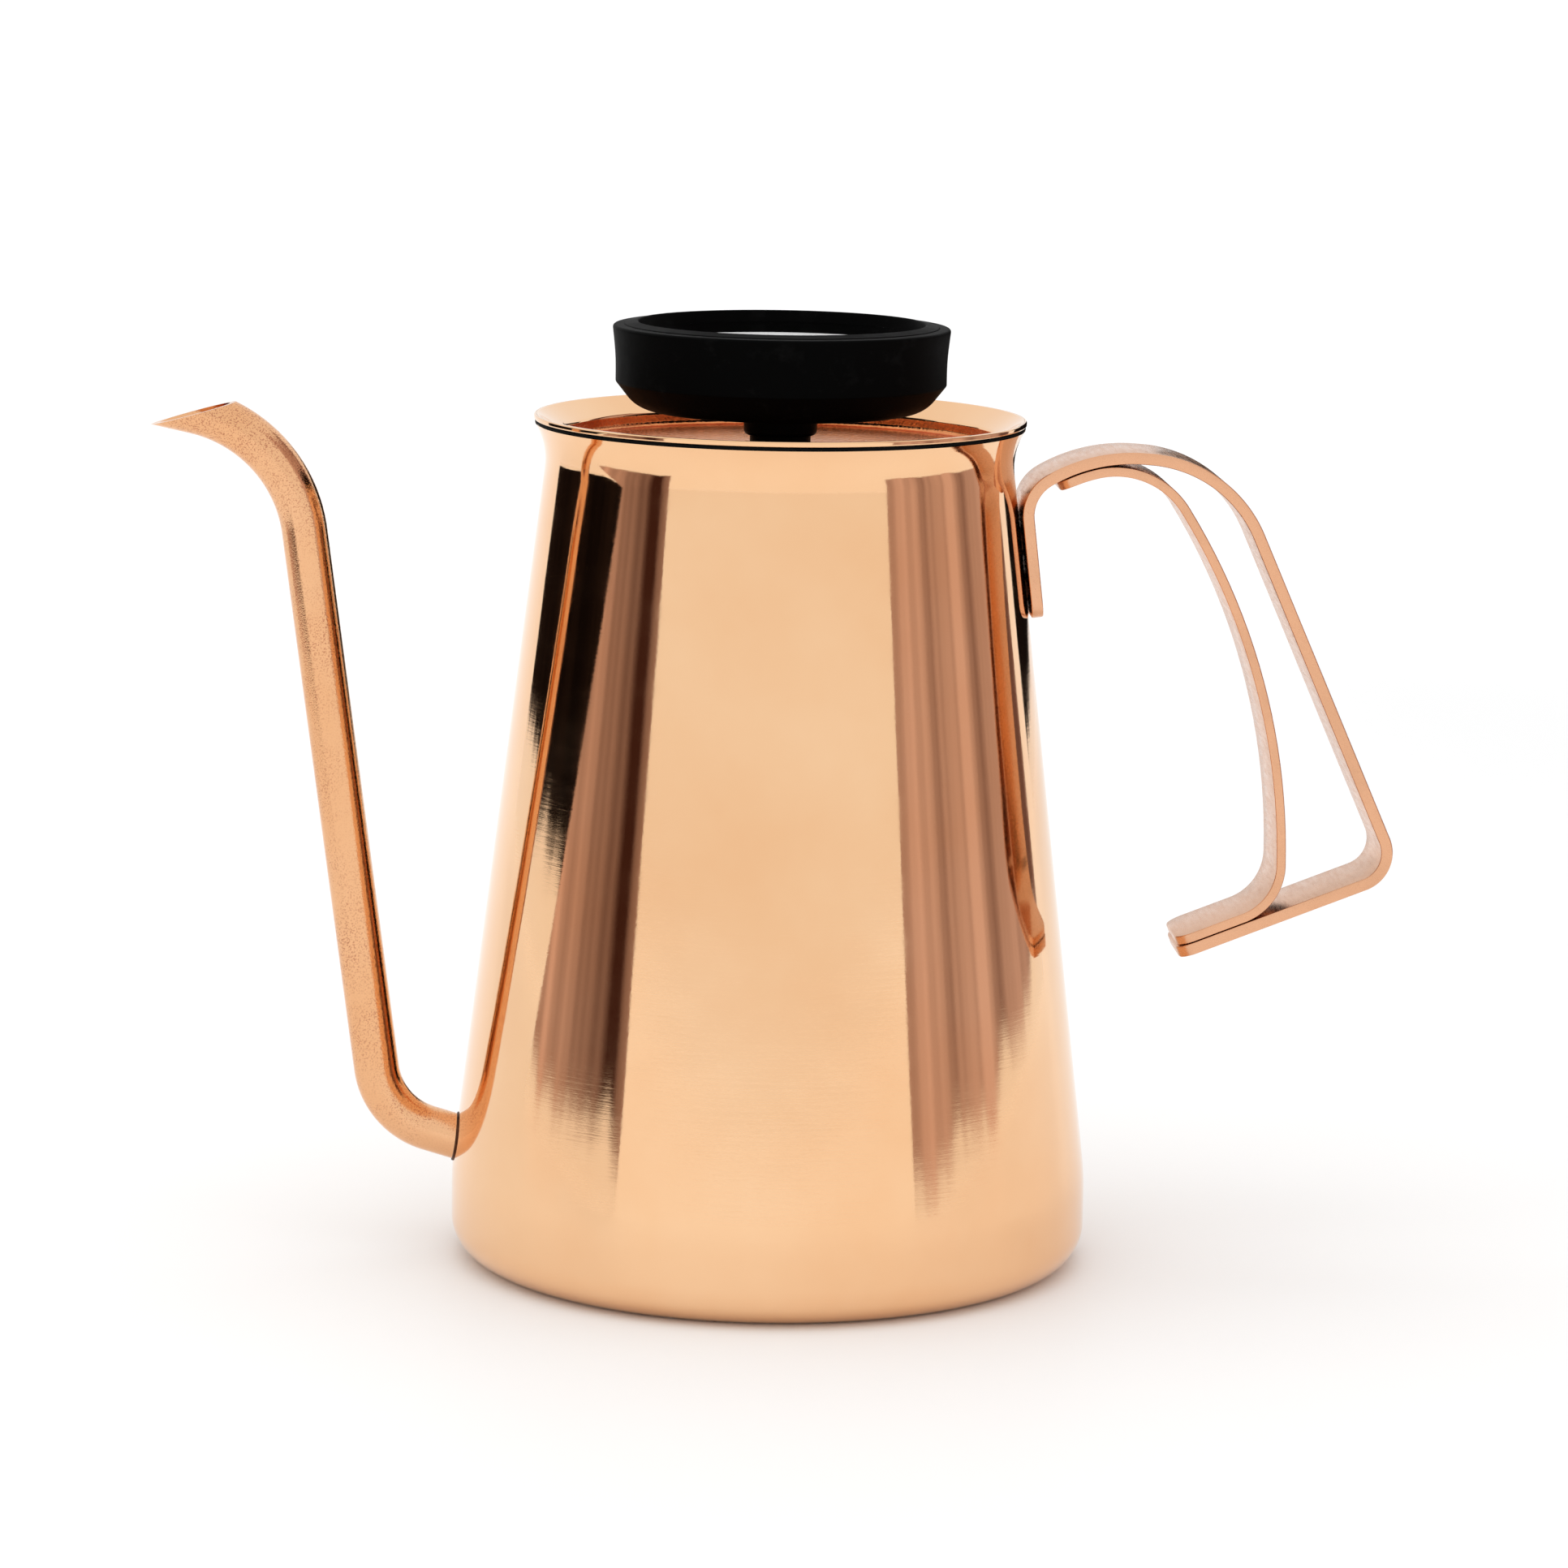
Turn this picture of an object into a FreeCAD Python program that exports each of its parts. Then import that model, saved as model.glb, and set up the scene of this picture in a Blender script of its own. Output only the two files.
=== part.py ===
import FreeCAD, Part
import math
import os
import Sketcher
from FreeCAD import Placement, Rotation, Vector

# Gooseneck kettle, in millimetres. The origin is the centre of the underside, +Z is up,
# the handle points along +X and the spout along -X.

SIZES = {
    # body
    "base_radius": 55.0,
    "base_corner": 6.5,
    "band_height": 15.0,
    "wall_thick": 1.0,
    "neck_radius": 39.6,
    "neck_height": 141.0,
    "neck_curve": 12.0,
    "mouth_radius": 41.8,
    "mouth_height": 144.6,
    # spout
    "spout_radius": 3.9,
    "spout_wall": 0.7,
    "spout_foot_height": 20.1,
    "spout_foot_rise": 17.0,
    "spout_foot_length": 4.9,
    "spout_low_bend": 13.0,
    "spout_leg_lean": 7.7,
    "spout_leg_length": 94.3,
    "spout_high_bend": 24.0,
    "spout_beak_rise": 12.5,
    "spout_beak_length": 12.0,
    "beak_cut_slope": 15.7,
    "beak_cut_radius": 99.95,
    "beak_cut_height": 145.45,
    "spout_inside": 2.6,
    "beak_trim_length": 40.0,
    "beak_trim_side": 20.0,
    "braze_width": 0.7,
    "braze_thick": 0.5,
    # handle
    "strap_width": 16.0,
    "strap_corner": 3.0,
    "outer_thick": 2.0,
    "inner_thick": 1.6,
    "strap_gap": 0.2,
    "tab_gap": 0.1,
    "tab_foot_height": 112.5,
    "tab_length": 17.1,
    "tab_bend": 7.0,
    "arch_rise": 30.6,
    "arch_radius": 28.0,
    "arch_fall": 4.0,
    "crest_length": 1.2,
    "shoulder_bend": 22.3,
    "shoulder_turn": 62.0,
    "back_length": 57.3,
    "tail_bend": 5.8,
    "tail_turn": 92.8,
    "tail_length": 34.2,
    "inner_start_rise": 28.7,
    "inner_arch_turn": 15.1,
    "inner_crest_bend": 14.2,
    "inner_crest_turn": 70.7,
    "inner_grip_bend": 114.2,
    "inner_grip_turn": 32.6,
    "inner_tail_bend": 9.8,
    "inner_tail_turn": 69.1,
    "inner_tail_length": 12.2,
    # welds
    "weld_radius": 2.5,
    "tab_weld_low": 117.0,
    "tab_weld_high": 125.0,
    "tab_weld_reach": 0.6,
    "arch_weld_first": 24.0,
    "arch_weld_second": 18.0,
    "tail_weld_near": 3.5,
    "tail_weld_far": 10.0,
    "strap_weld_reach": 0.7,
    # lid
    "lid_radius": 42.0,
    "lid_height": 146.1,
    "lid_thick": 0.9,
    "lid_rim_width": 0.7,
    "pan_radius": 37.4,
    "pan_lip_height": 143.1,
    "pan_floor_height": 140.8,
    "seat_gap": 0.05,
    # seal
    "seal_top_width": 0.9,
    "seal_width": 2.6,
    "seal_top_drop": 1.55,
    "seal_seat_width": 1.4,
    "seal_hang": 1.9,
    # knob and its collar
    "collar_radius": 6.25,
    "collar_foot_height": 142.9,
    "collar_foot_round": 0.8,
    "collar_neck_radius": 5.2,
    "shank_radius": 4.0,
    "shank_foot_height": 136.0,
    "knob_bottom_height": 147.0,
    "knob_bottom_radius": 24.4,
    "knob_bottom_round": 6.0,
    "knob_waist_radius": 28.2,
    "knob_waist_height": 151.8,
    "knob_waist_round": 1.0,
    "knob_top_radius": 28.8,
    "knob_top_height": 161.4,
    "knob_top_round": 0.5,
    "knob_wall": 2.0,
    "knob_floor": 2.0,
    "bezel_height": 162.1,
    "bezel_radius": 24.5,
    "bezel_foot_radius": 23.9,
    "bezel_edge_height": 161.6,
    "glass_height": 160.1,
    "glass_thick": 1.5,
    "glass_radius": 24.6,
    "ledge_width": 1.2,
    # dial works
    "dial_height": 155.4,
    "dial_thick": 0.5,
    "dial_eye_radius": 1.0,
    "pointer_length": 20.0,
    "pointer_width": 1.4,
    "pointer_thick": 0.4,
    "pointer_hub_radius": 2.6,
    "pointer_height": 156.5,
    "pointer_cold_angle": 225.0,
    "spindle_radius": 0.5,
    "spindle_top_height": 157.3,
    "stem_radius": 2.0,
    "stem_wall": 0.3,
    "stem_foot_height": 72.0,
    "coil_radius": 1.2,
    "coil_wire": 0.2,
    "coil_length": 30.0,
    "coil_turns": 15.0,
    "washer_radius": 7.5,
    "washer_thick": 0.8,
    "nut_across_flats": 13.0,
    "nut_thick": 2.4,
}

doc = FreeCAD.newDocument("gooseneck_kettle")
sheet = doc.addObject("Spreadsheet::Sheet", "Sizes")
for row, (alias, number) in enumerate(SIZES.items(), 1):
    sheet.set("A%d" % row, alias)
    sheet.set("B%d" % row, str(number))
    sheet.setAlias("B%d" % row, alias)
doc.recompute()


class Dim:
    """A driving dimension, or a sum of them: its number now, and its spreadsheet expression."""

    def __init__(self, number, text):
        self.number = number
        self.text = text

    def __add__(self, other):
        return Dim(self.number + other.number, "%s + %s" % (self.text, other.text))

    def __sub__(self, other):
        return Dim(self.number - other.number, "%s - (%s)" % (self.text, other.text))

    def times(self, factor):
        return Dim(self.number * factor, "(%s) * %s" % (self.text, factor))


def size(alias):
    """The driving dimension with this alias, read back from the sheet."""
    return Dim(float(sheet.get(alias)), "Sizes." + alias)


def number(alias):
    """The plain number of a driving dimension."""
    return size(alias).number


ZERO = Dim(0.0, "0")
nodes = []


def keep(thing, label):
    """Name a finished sub-part and put it on the list of files to write."""
    thing.Label = label
    nodes.append(thing)
    return thing


# ---- helpers that build shapes ----

def origin_plane(body, role):
    """One of a body's own origin planes."""
    for feature in body.Origin.OriginFeatures:
        if feature.Role == role:
            return feature
    raise RuntimeError("no plane " + role)


def plane_sketch(body, role, name):
    """An empty sketch that lies flat on one of the body's origin planes."""
    sketch = body.newObject("Sketcher::SketchObject", name)
    sketch.AttachmentSupport = [(origin_plane(body, role), "")]
    sketch.MapMode = "FlatFace"
    return sketch


def pin_corner(sketch, line, across, up):
    """Hold the start of a line at the given distances, both bound to the sheet."""
    for kind, axis, dim in (("DistanceX", -2, across), ("DistanceY", -1, up)):
        if abs(dim.number) < 1e-9:
            sketch.addConstraint(Sketcher.Constraint("PointOnObject", line, 1, axis))
        else:
            index = sketch.addConstraint(Sketcher.Constraint(kind, -1, 1, line, 1, dim.number))
            sketch.setExpression("Constraints[%d]" % index, dim.text)


def turned(name, outline):
    """A body turned about Z from a closed outline of (radius, height) corners."""
    body = doc.addObject("PartDesign::Body", name)
    sketch = plane_sketch(body, "XZ_Plane", name + "_outline")
    corners = [Vector(radius.number, height.number, 0) for radius, height in outline]
    count = len(corners)
    for i in range(count):
        sketch.addGeometry(Part.LineSegment(corners[i], corners[(i + 1) % count]), False)
    for i in range(count):
        sketch.addConstraint(Sketcher.Constraint("Coincident", i, 2, (i + 1) % count, 1))
    for i, (radius, height) in enumerate(outline):
        pin_corner(sketch, i, radius, height)
    turn = body.newObject("PartDesign::Revolution", name + "_turn")
    turn.Profile = sketch
    turn.ReferenceAxis = (sketch, ["V_Axis"])
    turn.Angle = 360
    sketch.Visibility = False
    doc.recompute()
    return body


def round_rings(body, spots):
    """Round circular edges about Z. Each spot is (radius of edge, height of edge, size of the round)."""
    for radius, height, curve in spots:
        before = body.Tip
        names = []
        for index, edge in enumerate(before.Shape.Edges, 1):
            if not isinstance(edge.Curve, Part.Circle):
                continue
            same_radius = abs(edge.Curve.Radius - radius.number) < 0.01
            same_height = abs(edge.Curve.Center.z - height.number) < 0.01
            if same_radius and same_height:
                names.append("Edge%d" % index)
        if not names:
            raise RuntimeError("no edge to round on " + body.Name)
        fillet = body.newObject("PartDesign::Fillet", body.Name + "_round")
        fillet.Base = (before, names)
        fillet.Radius = curve.number
        fillet.setExpression("Radius", curve.text)
        doc.recompute()


def cylinder(name, radius, height, place):
    """A bound cylinder that starts at the placement and runs along its own Z."""
    thing = doc.addObject("Part::Cylinder", name)
    thing.setExpression("Radius", radius.text)
    thing.setExpression("Height", height.text)
    thing.Placement = place
    return thing


def cut(name, base, tool):
    """The base with the tool taken away."""
    thing = doc.addObject("Part::Cut", name)
    thing.Base = base
    thing.Tool = tool
    return thing


def group(name, things):
    """Separate like solids held as one sub-part."""
    thing = doc.addObject("Part::Compound", name)
    thing.Links = things
    return thing


def rod(name, radius, foot, top):
    """An upright bound cylinder on the Z axis between two heights."""
    thing = cylinder(name, radius, top - foot, Placement())
    thing.setExpression("Placement.Base.z", foot.text)
    return thing


# ---- paths made of straight runs and bends in the XZ plane ----

class Path:
    """A walk in the XZ plane. Headings are degrees up from +X; a positive turn is anticlockwise."""

    def __init__(self, across, up, heading):
        self.here = Vector(across, up, 0)
        self.heading = heading
        self.runs = []

    def direction(self):
        angle = math.radians(self.heading)
        return Vector(math.cos(angle), math.sin(angle), 0)

    def left(self):
        angle = math.radians(self.heading)
        return Vector(-math.sin(angle), math.cos(angle), 0)

    def straight(self, length):
        end = self.here + self.direction() * length
        self.runs.append(("straight", self.here, end, self.left()))
        self.here = end
        return self

    def bend(self, radius, turn):
        side = 1 if turn > 0 else -1
        centre = self.here + self.left() * radius * side
        start_angle = self.heading - 90 * side
        self.heading += turn
        self.runs.append(("bend", centre, radius, side, start_angle, start_angle + turn))
        self.here = centre - self.left() * radius * side
        return self

    def offset_curves(self, shift):
        """The walk's curves, moved to the left by the given amount."""
        curves = []
        for run in self.runs:
            if run[0] == "straight":
                curves.append(Part.LineSegment(run[1] + run[3] * shift, run[2] + run[3] * shift))
            else:
                centre, radius, side, first, last = run[1:]
                circle = Part.Circle(centre, Vector(0, 0, 1), radius - side * shift)
                low, high = math.radians(min(first, last)), math.radians(max(first, last))
                curves.append(Part.ArcOfCircle(circle, low, high))
        return curves

    def end_points(self, shift):
        """The two ends of the walk, moved to the left by the given amount."""
        first = self.runs[0]
        if first[0] == "straight":
            start = first[1] + first[3] * shift
        else:
            centre, radius, side, angle = first[1:5]
            reach = radius - side * shift
            start = centre + Vector(math.cos(math.radians(angle)), math.sin(math.radians(angle)), 0) * reach
        return start, self.here + self.left() * shift


def wall_radius(height):
    """Outside radius of the conical wall at a height."""
    rise = (height - number("band_height")) / (number("neck_height") - number("band_height"))
    return number("base_radius") + rise * (number("neck_radius") - number("base_radius"))


def wall_lean():
    """How far the conical wall leans in from upright, in degrees."""
    run = number("base_radius") - number("neck_radius")
    return math.degrees(math.atan2(run, number("neck_height") - number("band_height")))


# ---- body ----

def make_body_shell():
    wall = size("wall_thick")
    neck = size("neck_radius")
    mouth = size("mouth_radius")
    shell = turned("shell_turned", [
        (size("base_radius"), size("band_height")),
        (neck, size("neck_height")),
        (mouth, size("mouth_height")),
        (mouth - wall, size("mouth_height")),
        (neck - wall, size("neck_height")),
        (size("base_radius") - wall, size("band_height")),
    ])
    round_rings(shell, [
        (neck, size("neck_height"), size("neck_curve")),
        (neck - wall, size("neck_height"), size("neck_curve")),
    ])
    foot = Vector(-wall_radius(number("spout_foot_height")), 0, number("spout_foot_height"))
    outward = Rotation(Vector(0, 1, 0), -90 + number("spout_foot_rise"))
    start = foot - outward.multVec(Vector(0, 0, number("base_corner")))
    place = Placement(start, outward)
    hole = cylinder("spout_hole", size("spout_radius"), size("spout_radius").times(3), place)
    keep(cut("body_shell", shell, hole), "body_shell")
    return shell


def make_base_pan():
    wall = size("wall_thick")
    base = size("base_radius")
    pan = turned("base_pan", [
        (ZERO, ZERO),
        (base, ZERO),
        (base, size("band_height")),
        (base - wall, size("band_height")),
        (base - wall, wall),
        (ZERO, wall),
    ])
    round_rings(pan, [
        (base, ZERO, size("base_corner")),
        (base - wall, wall, size("base_corner") - wall),
    ])
    return keep(pan, "base_pan")


# ---- spout ----

def spout_path():
    """The middle line of the spout, from inside the wall to past the beak."""
    height = number("spout_foot_height")
    rise = number("spout_foot_rise")
    lean = number("spout_leg_lean")
    inside = number("spout_inside")
    path = Path(-wall_radius(height), height, 180 - rise)
    path.here = path.here - path.direction() * inside
    path.straight(number("spout_foot_length") + inside)
    path.bend(number("spout_low_bend"), -(90 - lean - rise))
    path.straight(number("spout_leg_length"))
    path.bend(number("spout_high_bend"), 90 - lean - number("spout_beak_rise"))
    path.straight(number("spout_beak_length"))
    return path


def tube_along(name, path_object, edge_count, radius, place):
    """A round bar swept along a path."""
    ring = doc.addObject("Part::Circle", name + "_ring")
    ring.setExpression("Radius", radius.text)
    ring.Placement = place
    sweep = doc.addObject("Part::Sweep", name)
    sweep.Sections = [ring]
    sweep.Spine = (path_object, ["Edge%d" % i for i in range(1, edge_count + 1)])
    sweep.Solid = True
    return sweep


def make_spout(shell):
    path = spout_path()
    line = doc.addObject("Sketcher::SketchObject", "spout_line")
    line.Placement = Placement(Vector(), Rotation(Vector(1, 0, 0), 90))
    line.addGeometry(path.offset_curves(0), False)
    doc.recompute()
    start = path.end_points(0)[0]
    outward = Rotation(Vector(0, 1, 0), -90 + number("spout_foot_rise"))
    place = Placement(Vector(start.x, 0, start.y), outward)
    outer = tube_along("spout_bar", line, len(path.runs), size("spout_radius"), place)
    bore = tube_along("spout_bore", line, len(path.runs), size("spout_radius") - size("spout_wall"), place)
    doc.recompute()
    tube = cut("spout_pipe", outer, bore)
    keep(cut("spout_tube", tube, beak_trim()), "spout_tube")
    make_spout_braze(outer, outward)


def beak_trim():
    """The block above the slanting cut across the beak."""
    length = size("beak_trim_length")
    side = size("beak_trim_side")
    block = doc.addObject("Part::Box", "beak_trim")
    block.setExpression("Length", length.text)
    block.setExpression("Width", side.text)
    block.setExpression("Height", side.text)
    slope = Rotation(Vector(0, 1, 0), -number("beak_cut_slope"))
    middle = Vector(-number("beak_cut_radius"), 0, number("beak_cut_height"))
    corner = Vector(-length.number / 2, -side.number / 2, 0)
    block.Placement = Placement(middle + slope.multVec(corner), slope)
    return block


def make_spout_braze(outer, outward):
    """Filler: a thin skin on the wall, ringed round the tube."""
    grip = size("spout_radius") + size("braze_width")
    foot = Vector(-wall_radius(number("spout_foot_height")), 0, number("spout_foot_height"))
    start = foot - outward.multVec(Vector(0, 0, number("spout_radius")))
    blank = cylinder("braze_blank", grip, size("spout_radius").times(2), Placement(start, outward))
    skin = turned("braze_skin", [
        (ZERO, ZERO),
        (size("base_radius") + size("braze_thick"), ZERO),
        (size("base_radius") + size("braze_thick"), size("band_height")),
        (size("neck_radius") + size("braze_thick"), size("neck_height")),
        (ZERO, size("neck_height")),
    ])
    kernel = turned("braze_kernel", [
        (ZERO, ZERO),
        (size("base_radius"), ZERO),
        (size("base_radius"), size("band_height")),
        (size("neck_radius"), size("neck_height")),
        (ZERO, size("neck_height")),
    ])
    patch = doc.addObject("Part::Common", "braze_patch")
    patch.Base = blank
    patch.Tool = skin
    ring = cut("braze_outside", patch, kernel)
    keep(cut("spout_braze", ring, outer), "spout_braze")


# ---- handle ----

def outer_path():
    """Middle line of the outer strap, from the foot of the tab to the free tail."""
    height = number("tab_foot_height")
    out = wall_radius(height) + number("tab_gap") + number("outer_thick") / 2
    path = Path(out, height, 90 + wall_lean())
    path.straight(number("tab_length"))
    path.bend(number("tab_bend"), number("arch_rise") - 90 - wall_lean())
    path.bend(number("arch_radius"), -number("arch_rise") - number("arch_fall"))
    path.straight(number("crest_length"))
    path.bend(number("shoulder_bend"), -number("shoulder_turn"))
    path.straight(number("back_length"))
    path.bend(number("tail_bend"), -number("tail_turn"))
    path.straight(number("tail_length"))
    return path


def inner_path():
    """Middle line of the inner strap, which hugs the arch, drops away and meets the tail again."""
    arch = outer_path().runs[2]
    centre = arch[1]
    apart = (number("outer_thick") + number("inner_thick")) / 2 + number("strap_gap")
    radius = number("arch_radius") - apart
    start_rise = number("inner_start_rise")
    angle = math.radians(start_rise)
    path = Path(centre.x - radius * math.sin(angle), centre.y + radius * math.cos(angle), start_rise)
    path.bend(radius, -number("inner_arch_turn"))
    path.bend(number("inner_crest_bend"), -number("inner_crest_turn"))
    path.bend(number("inner_grip_bend"), -number("inner_grip_turn"))
    path.bend(number("inner_tail_bend"), -number("inner_tail_turn"))
    path.straight(number("inner_tail_length"))
    return path


def strap(name, path, thick):
    """A flat bent strip with rounded end corners."""
    body = doc.addObject("PartDesign::Body", name)
    sketch = plane_sketch(body, "XZ_Plane", name + "_edge")
    half = thick.number / 2
    near = path.end_points(half)
    far = path.end_points(-half)
    sketch.addGeometry(path.offset_curves(half) + path.offset_curves(-half), False)
    sketch.addGeometry([Part.LineSegment(near[0], far[0]), Part.LineSegment(near[1], far[1])], False)
    pad = body.newObject("PartDesign::Pad", name + "_pad")
    pad.Profile = sketch
    pad.Midplane = True
    pad.setExpression("Length", "Sizes.strap_width")
    sketch.Visibility = False
    doc.recompute()
    ends = [Vector(point.x, 0, point.y) for point in (path.end_points(0))]
    names = []
    for index, edge in enumerate(pad.Shape.Edges, 1):
        middle = edge.CenterOfMass
        flat = Vector(middle.x, 0, middle.z)
        at_side = abs(abs(middle.y) - number("strap_width") / 2) < 0.01
        at_end = min((flat - end).Length for end in ends) < 0.01
        if at_side and at_end:
            names.append("Edge%d" % index)
    if len(names) != 4:
        raise RuntimeError("strap corners not found on " + name)
    fillet = body.newObject("PartDesign::Fillet", name + "_corners")
    fillet.Base = (pad, names)
    fillet.Radius = number("strap_corner")
    fillet.setExpression("Radius", "Sizes.strap_corner")
    doc.recompute()
    return keep(body, name)


def weld(name, spot, direction, reach, parts):
    """One spot weld: a button through the spot along a direction, without the metal it joins."""
    turn = Rotation(Vector(0, 0, 1), direction)
    start = spot - direction * reach.number
    button = cylinder(name + "_bar", size("weld_radius"), reach.times(2), Placement(start, turn))
    for count, part in enumerate(parts):
        button = cut("%s_%d" % (name, count), button, part)
    return button


def make_body_welds(shell, outer):
    """Two welds between the tab and the wall."""
    lean = math.radians(wall_lean())
    outward = Vector(math.cos(lean), 0, math.sin(lean))
    buttons = []
    for alias in ("tab_weld_low", "tab_weld_high"):
        height = number(alias)
        spot = Vector(wall_radius(height) + number("tab_gap") / 2, 0, height)
        buttons.append(weld(alias, spot, outward, size("tab_weld_reach"), [shell, outer]))
    keep(group("handle_body_welds", buttons), "handle_body_welds")


def make_arch_welds(outer, inner):
    """Two welds where the straps lie together along the arch."""
    centre = outer_path().runs[2][1]
    reach = number("arch_radius") - number("outer_thick") / 2 - number("strap_gap") / 2
    buttons = []
    for alias in ("arch_weld_first", "arch_weld_second"):
        angle = math.radians(number(alias))
        normal = Vector(-math.sin(angle), 0, math.cos(angle))
        spot = Vector(centre.x, 0, centre.y) + normal * reach
        buttons.append(weld(alias, spot, normal, size("strap_weld_reach"), [outer, inner]))
    keep(group("arch_welds", buttons), "arch_welds")


def make_tail_welds(outer, inner):
    """Two welds where the inner strap lies on the tail of the outer one."""
    tail = outer_path()
    along = Vector(tail.direction().x, 0, tail.direction().y)
    normal = Vector(tail.left().x, 0, tail.left().y) * -1
    end = Vector(tail.here.x, 0, tail.here.y)
    lift = number("outer_thick") / 2 + number("strap_gap") / 2
    buttons = []
    for alias in ("tail_weld_near", "tail_weld_far"):
        spot = end - along * number(alias) + normal * lift
        buttons.append(weld(alias, spot, normal, size("strap_weld_reach"), [outer, inner]))
    keep(group("tail_welds", buttons), "tail_welds")


# ---- lid ----

def make_lid_pan():
    thick = size("lid_thick")
    lid = size("lid_radius")
    top = size("lid_height")
    rim = lid - size("lid_rim_width")
    pan = size("pan_radius")
    lip = size("pan_lip_height")
    floor = size("pan_floor_height")
    hole = size("shank_radius") + size("seat_gap")
    body = turned("lid_pan", [
        (lid, top),
        (rim, top),
        (pan, lip),
        (pan, floor),
        (hole, floor),
        (hole, floor - thick),
        (pan + thick, floor - thick),
        (pan + thick, lip - thick.times(0.2)),
        (rim - thick.times(0.4), top - thick),
        (lid, top - thick),
    ])
    round_rings(body, [
        (pan, lip, thick),
        (pan, floor, thick),
        (pan + thick, floor - thick, thick.times(1.6)),
    ])
    return keep(body, "lid_pan")


def make_lid_seal():
    gap = size("seat_gap")
    top = size("lid_height") - size("lid_thick") - gap
    seat = size("mouth_height") + gap
    edge = size("mouth_radius")
    inner = edge - size("seal_width")
    seal = turned("lid_seal", [
        (edge, seat),
        (edge, top),
        (edge - size("seal_top_width"), top),
        (inner, top - size("seal_top_drop")),
        (inner, seat - size("seal_hang")),
        (edge - size("seal_seat_width"), seat),
    ])
    return keep(seal, "lid_seal")


def make_collar():
    collar = size("collar_radius")
    neck = size("collar_neck_radius")
    shank = size("shank_radius")
    bore = size("stem_radius")
    foot = size("collar_foot_height")
    floor = size("pan_floor_height")
    top = size("knob_bottom_height")
    body = turned("lid_collar", [
        (bore, size("shank_foot_height")),
        (shank, size("shank_foot_height")),
        (shank, floor),
        (neck, floor),
        (neck, foot),
        (collar, foot),
        (collar, top),
        (bore, top),
    ])
    round_rings(body, [(collar, foot, size("collar_foot_round"))])
    keep(body, "lid_collar")


def make_washer_and_nut():
    """The washer under the lid, and the nut that clamps it."""
    shank = size("shank_radius")
    inner = shank + size("seat_gap")
    under = size("pan_floor_height") - size("lid_thick")
    washer_foot = under - size("washer_thick")
    washer = turned("collar_washer", [
        (inner, washer_foot),
        (size("washer_radius"), washer_foot),
        (size("washer_radius"), under),
        (inner, under),
    ])
    keep(washer, "collar_washer")
    prism = doc.addObject("Part::Prism", "nut_prism")
    prism.Polygon = 6
    prism.setExpression("Circumradius", "Sizes.nut_across_flats / 1.7320508")
    prism.setExpression("Height", "Sizes.nut_thick")
    prism.setExpression("Placement.Base.z", (washer_foot - size("nut_thick")).text)
    bore_tool = rod("nut_bore", shank, size("shank_foot_height"), under)
    keep(cut("collar_nut", prism, bore_tool), "collar_nut")


# ---- knob and dial thermometer ----

def make_knob():
    bore = size("stem_radius")
    bottom = size("knob_bottom_height")
    bottom_radius = size("knob_bottom_radius")
    floor = bottom + size("knob_floor")
    wall = size("knob_wall")
    top = size("knob_top_height")
    top_radius = size("knob_top_radius")
    waist = size("knob_waist_radius")
    waist_height = size("knob_waist_height")
    glass = size("glass_radius")
    glass_top = size("glass_height")
    ledge = glass_top - size("glass_thick")
    inside = glass - size("ledge_width")
    housing = turned("knob_housing", [
        (bore, bottom),
        (bottom_radius, bottom),
        (waist, waist_height),
        (top_radius, top),
        (top_radius - wall, top),
        (top_radius - wall, glass_top),
        (glass, glass_top),
        (glass, ledge),
        (inside, ledge),
        (inside, waist_height),
        (bottom_radius - wall - wall, floor),
        (bore, floor),
    ])
    round_rings(housing, [
        (bottom_radius, bottom, size("knob_bottom_round")),
        (waist, waist_height, size("knob_waist_round")),
        (top_radius, top, size("knob_top_round")),
    ])
    keep(housing, "knob_housing")
    keep(rod("knob_glass", glass, ledge, glass_top), "knob_glass")


def make_bezel():
    """The crowned ring that holds the glass down."""
    outer = size("knob_top_radius") - size("knob_wall")
    bezel = turned("knob_bezel", [
        (size("bezel_foot_radius"), size("glass_height")),
        (outer, size("glass_height")),
        (outer, size("bezel_edge_height")),
        (size("bezel_radius"), size("bezel_height")),
    ])
    keep(bezel, "knob_bezel")


def make_dial():
    dial = size("dial_height")
    top = dial + size("dial_thick")
    edge = size("glass_radius") - size("ledge_width")
    plate = turned("dial_plate", [
        (size("dial_eye_radius"), dial),
        (edge, dial),
        (edge, top),
        (size("dial_eye_radius"), top),
    ])
    keep(plate, "dial_plate")


def make_pointer():
    """A straight needle with a round hub, turned to its cold place."""
    hub = cylinder("pointer_hub", size("pointer_hub_radius"), size("pointer_thick"), Placement())
    needle = doc.addObject("Part::Box", "pointer_needle")
    needle.setExpression("Length", "Sizes.pointer_length")
    needle.setExpression("Width", "Sizes.pointer_width")
    needle.setExpression("Height", "Sizes.pointer_thick")
    needle.setExpression("Placement.Base.y", "-Sizes.pointer_width / 2")
    both = doc.addObject("Part::Fuse", "pointer_blank")
    both.Base = hub
    both.Tool = needle
    eye = rod("pointer_eye", size("spindle_radius"), ZERO, size("pointer_thick"))
    pointer = cut("pointer", both, eye)
    turn = Rotation(Vector(0, 0, 1), number("pointer_cold_angle"))
    pointer.Placement = Placement(Vector(0, 0, number("pointer_height")), turn)
    keep(pointer, "pointer")


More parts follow.
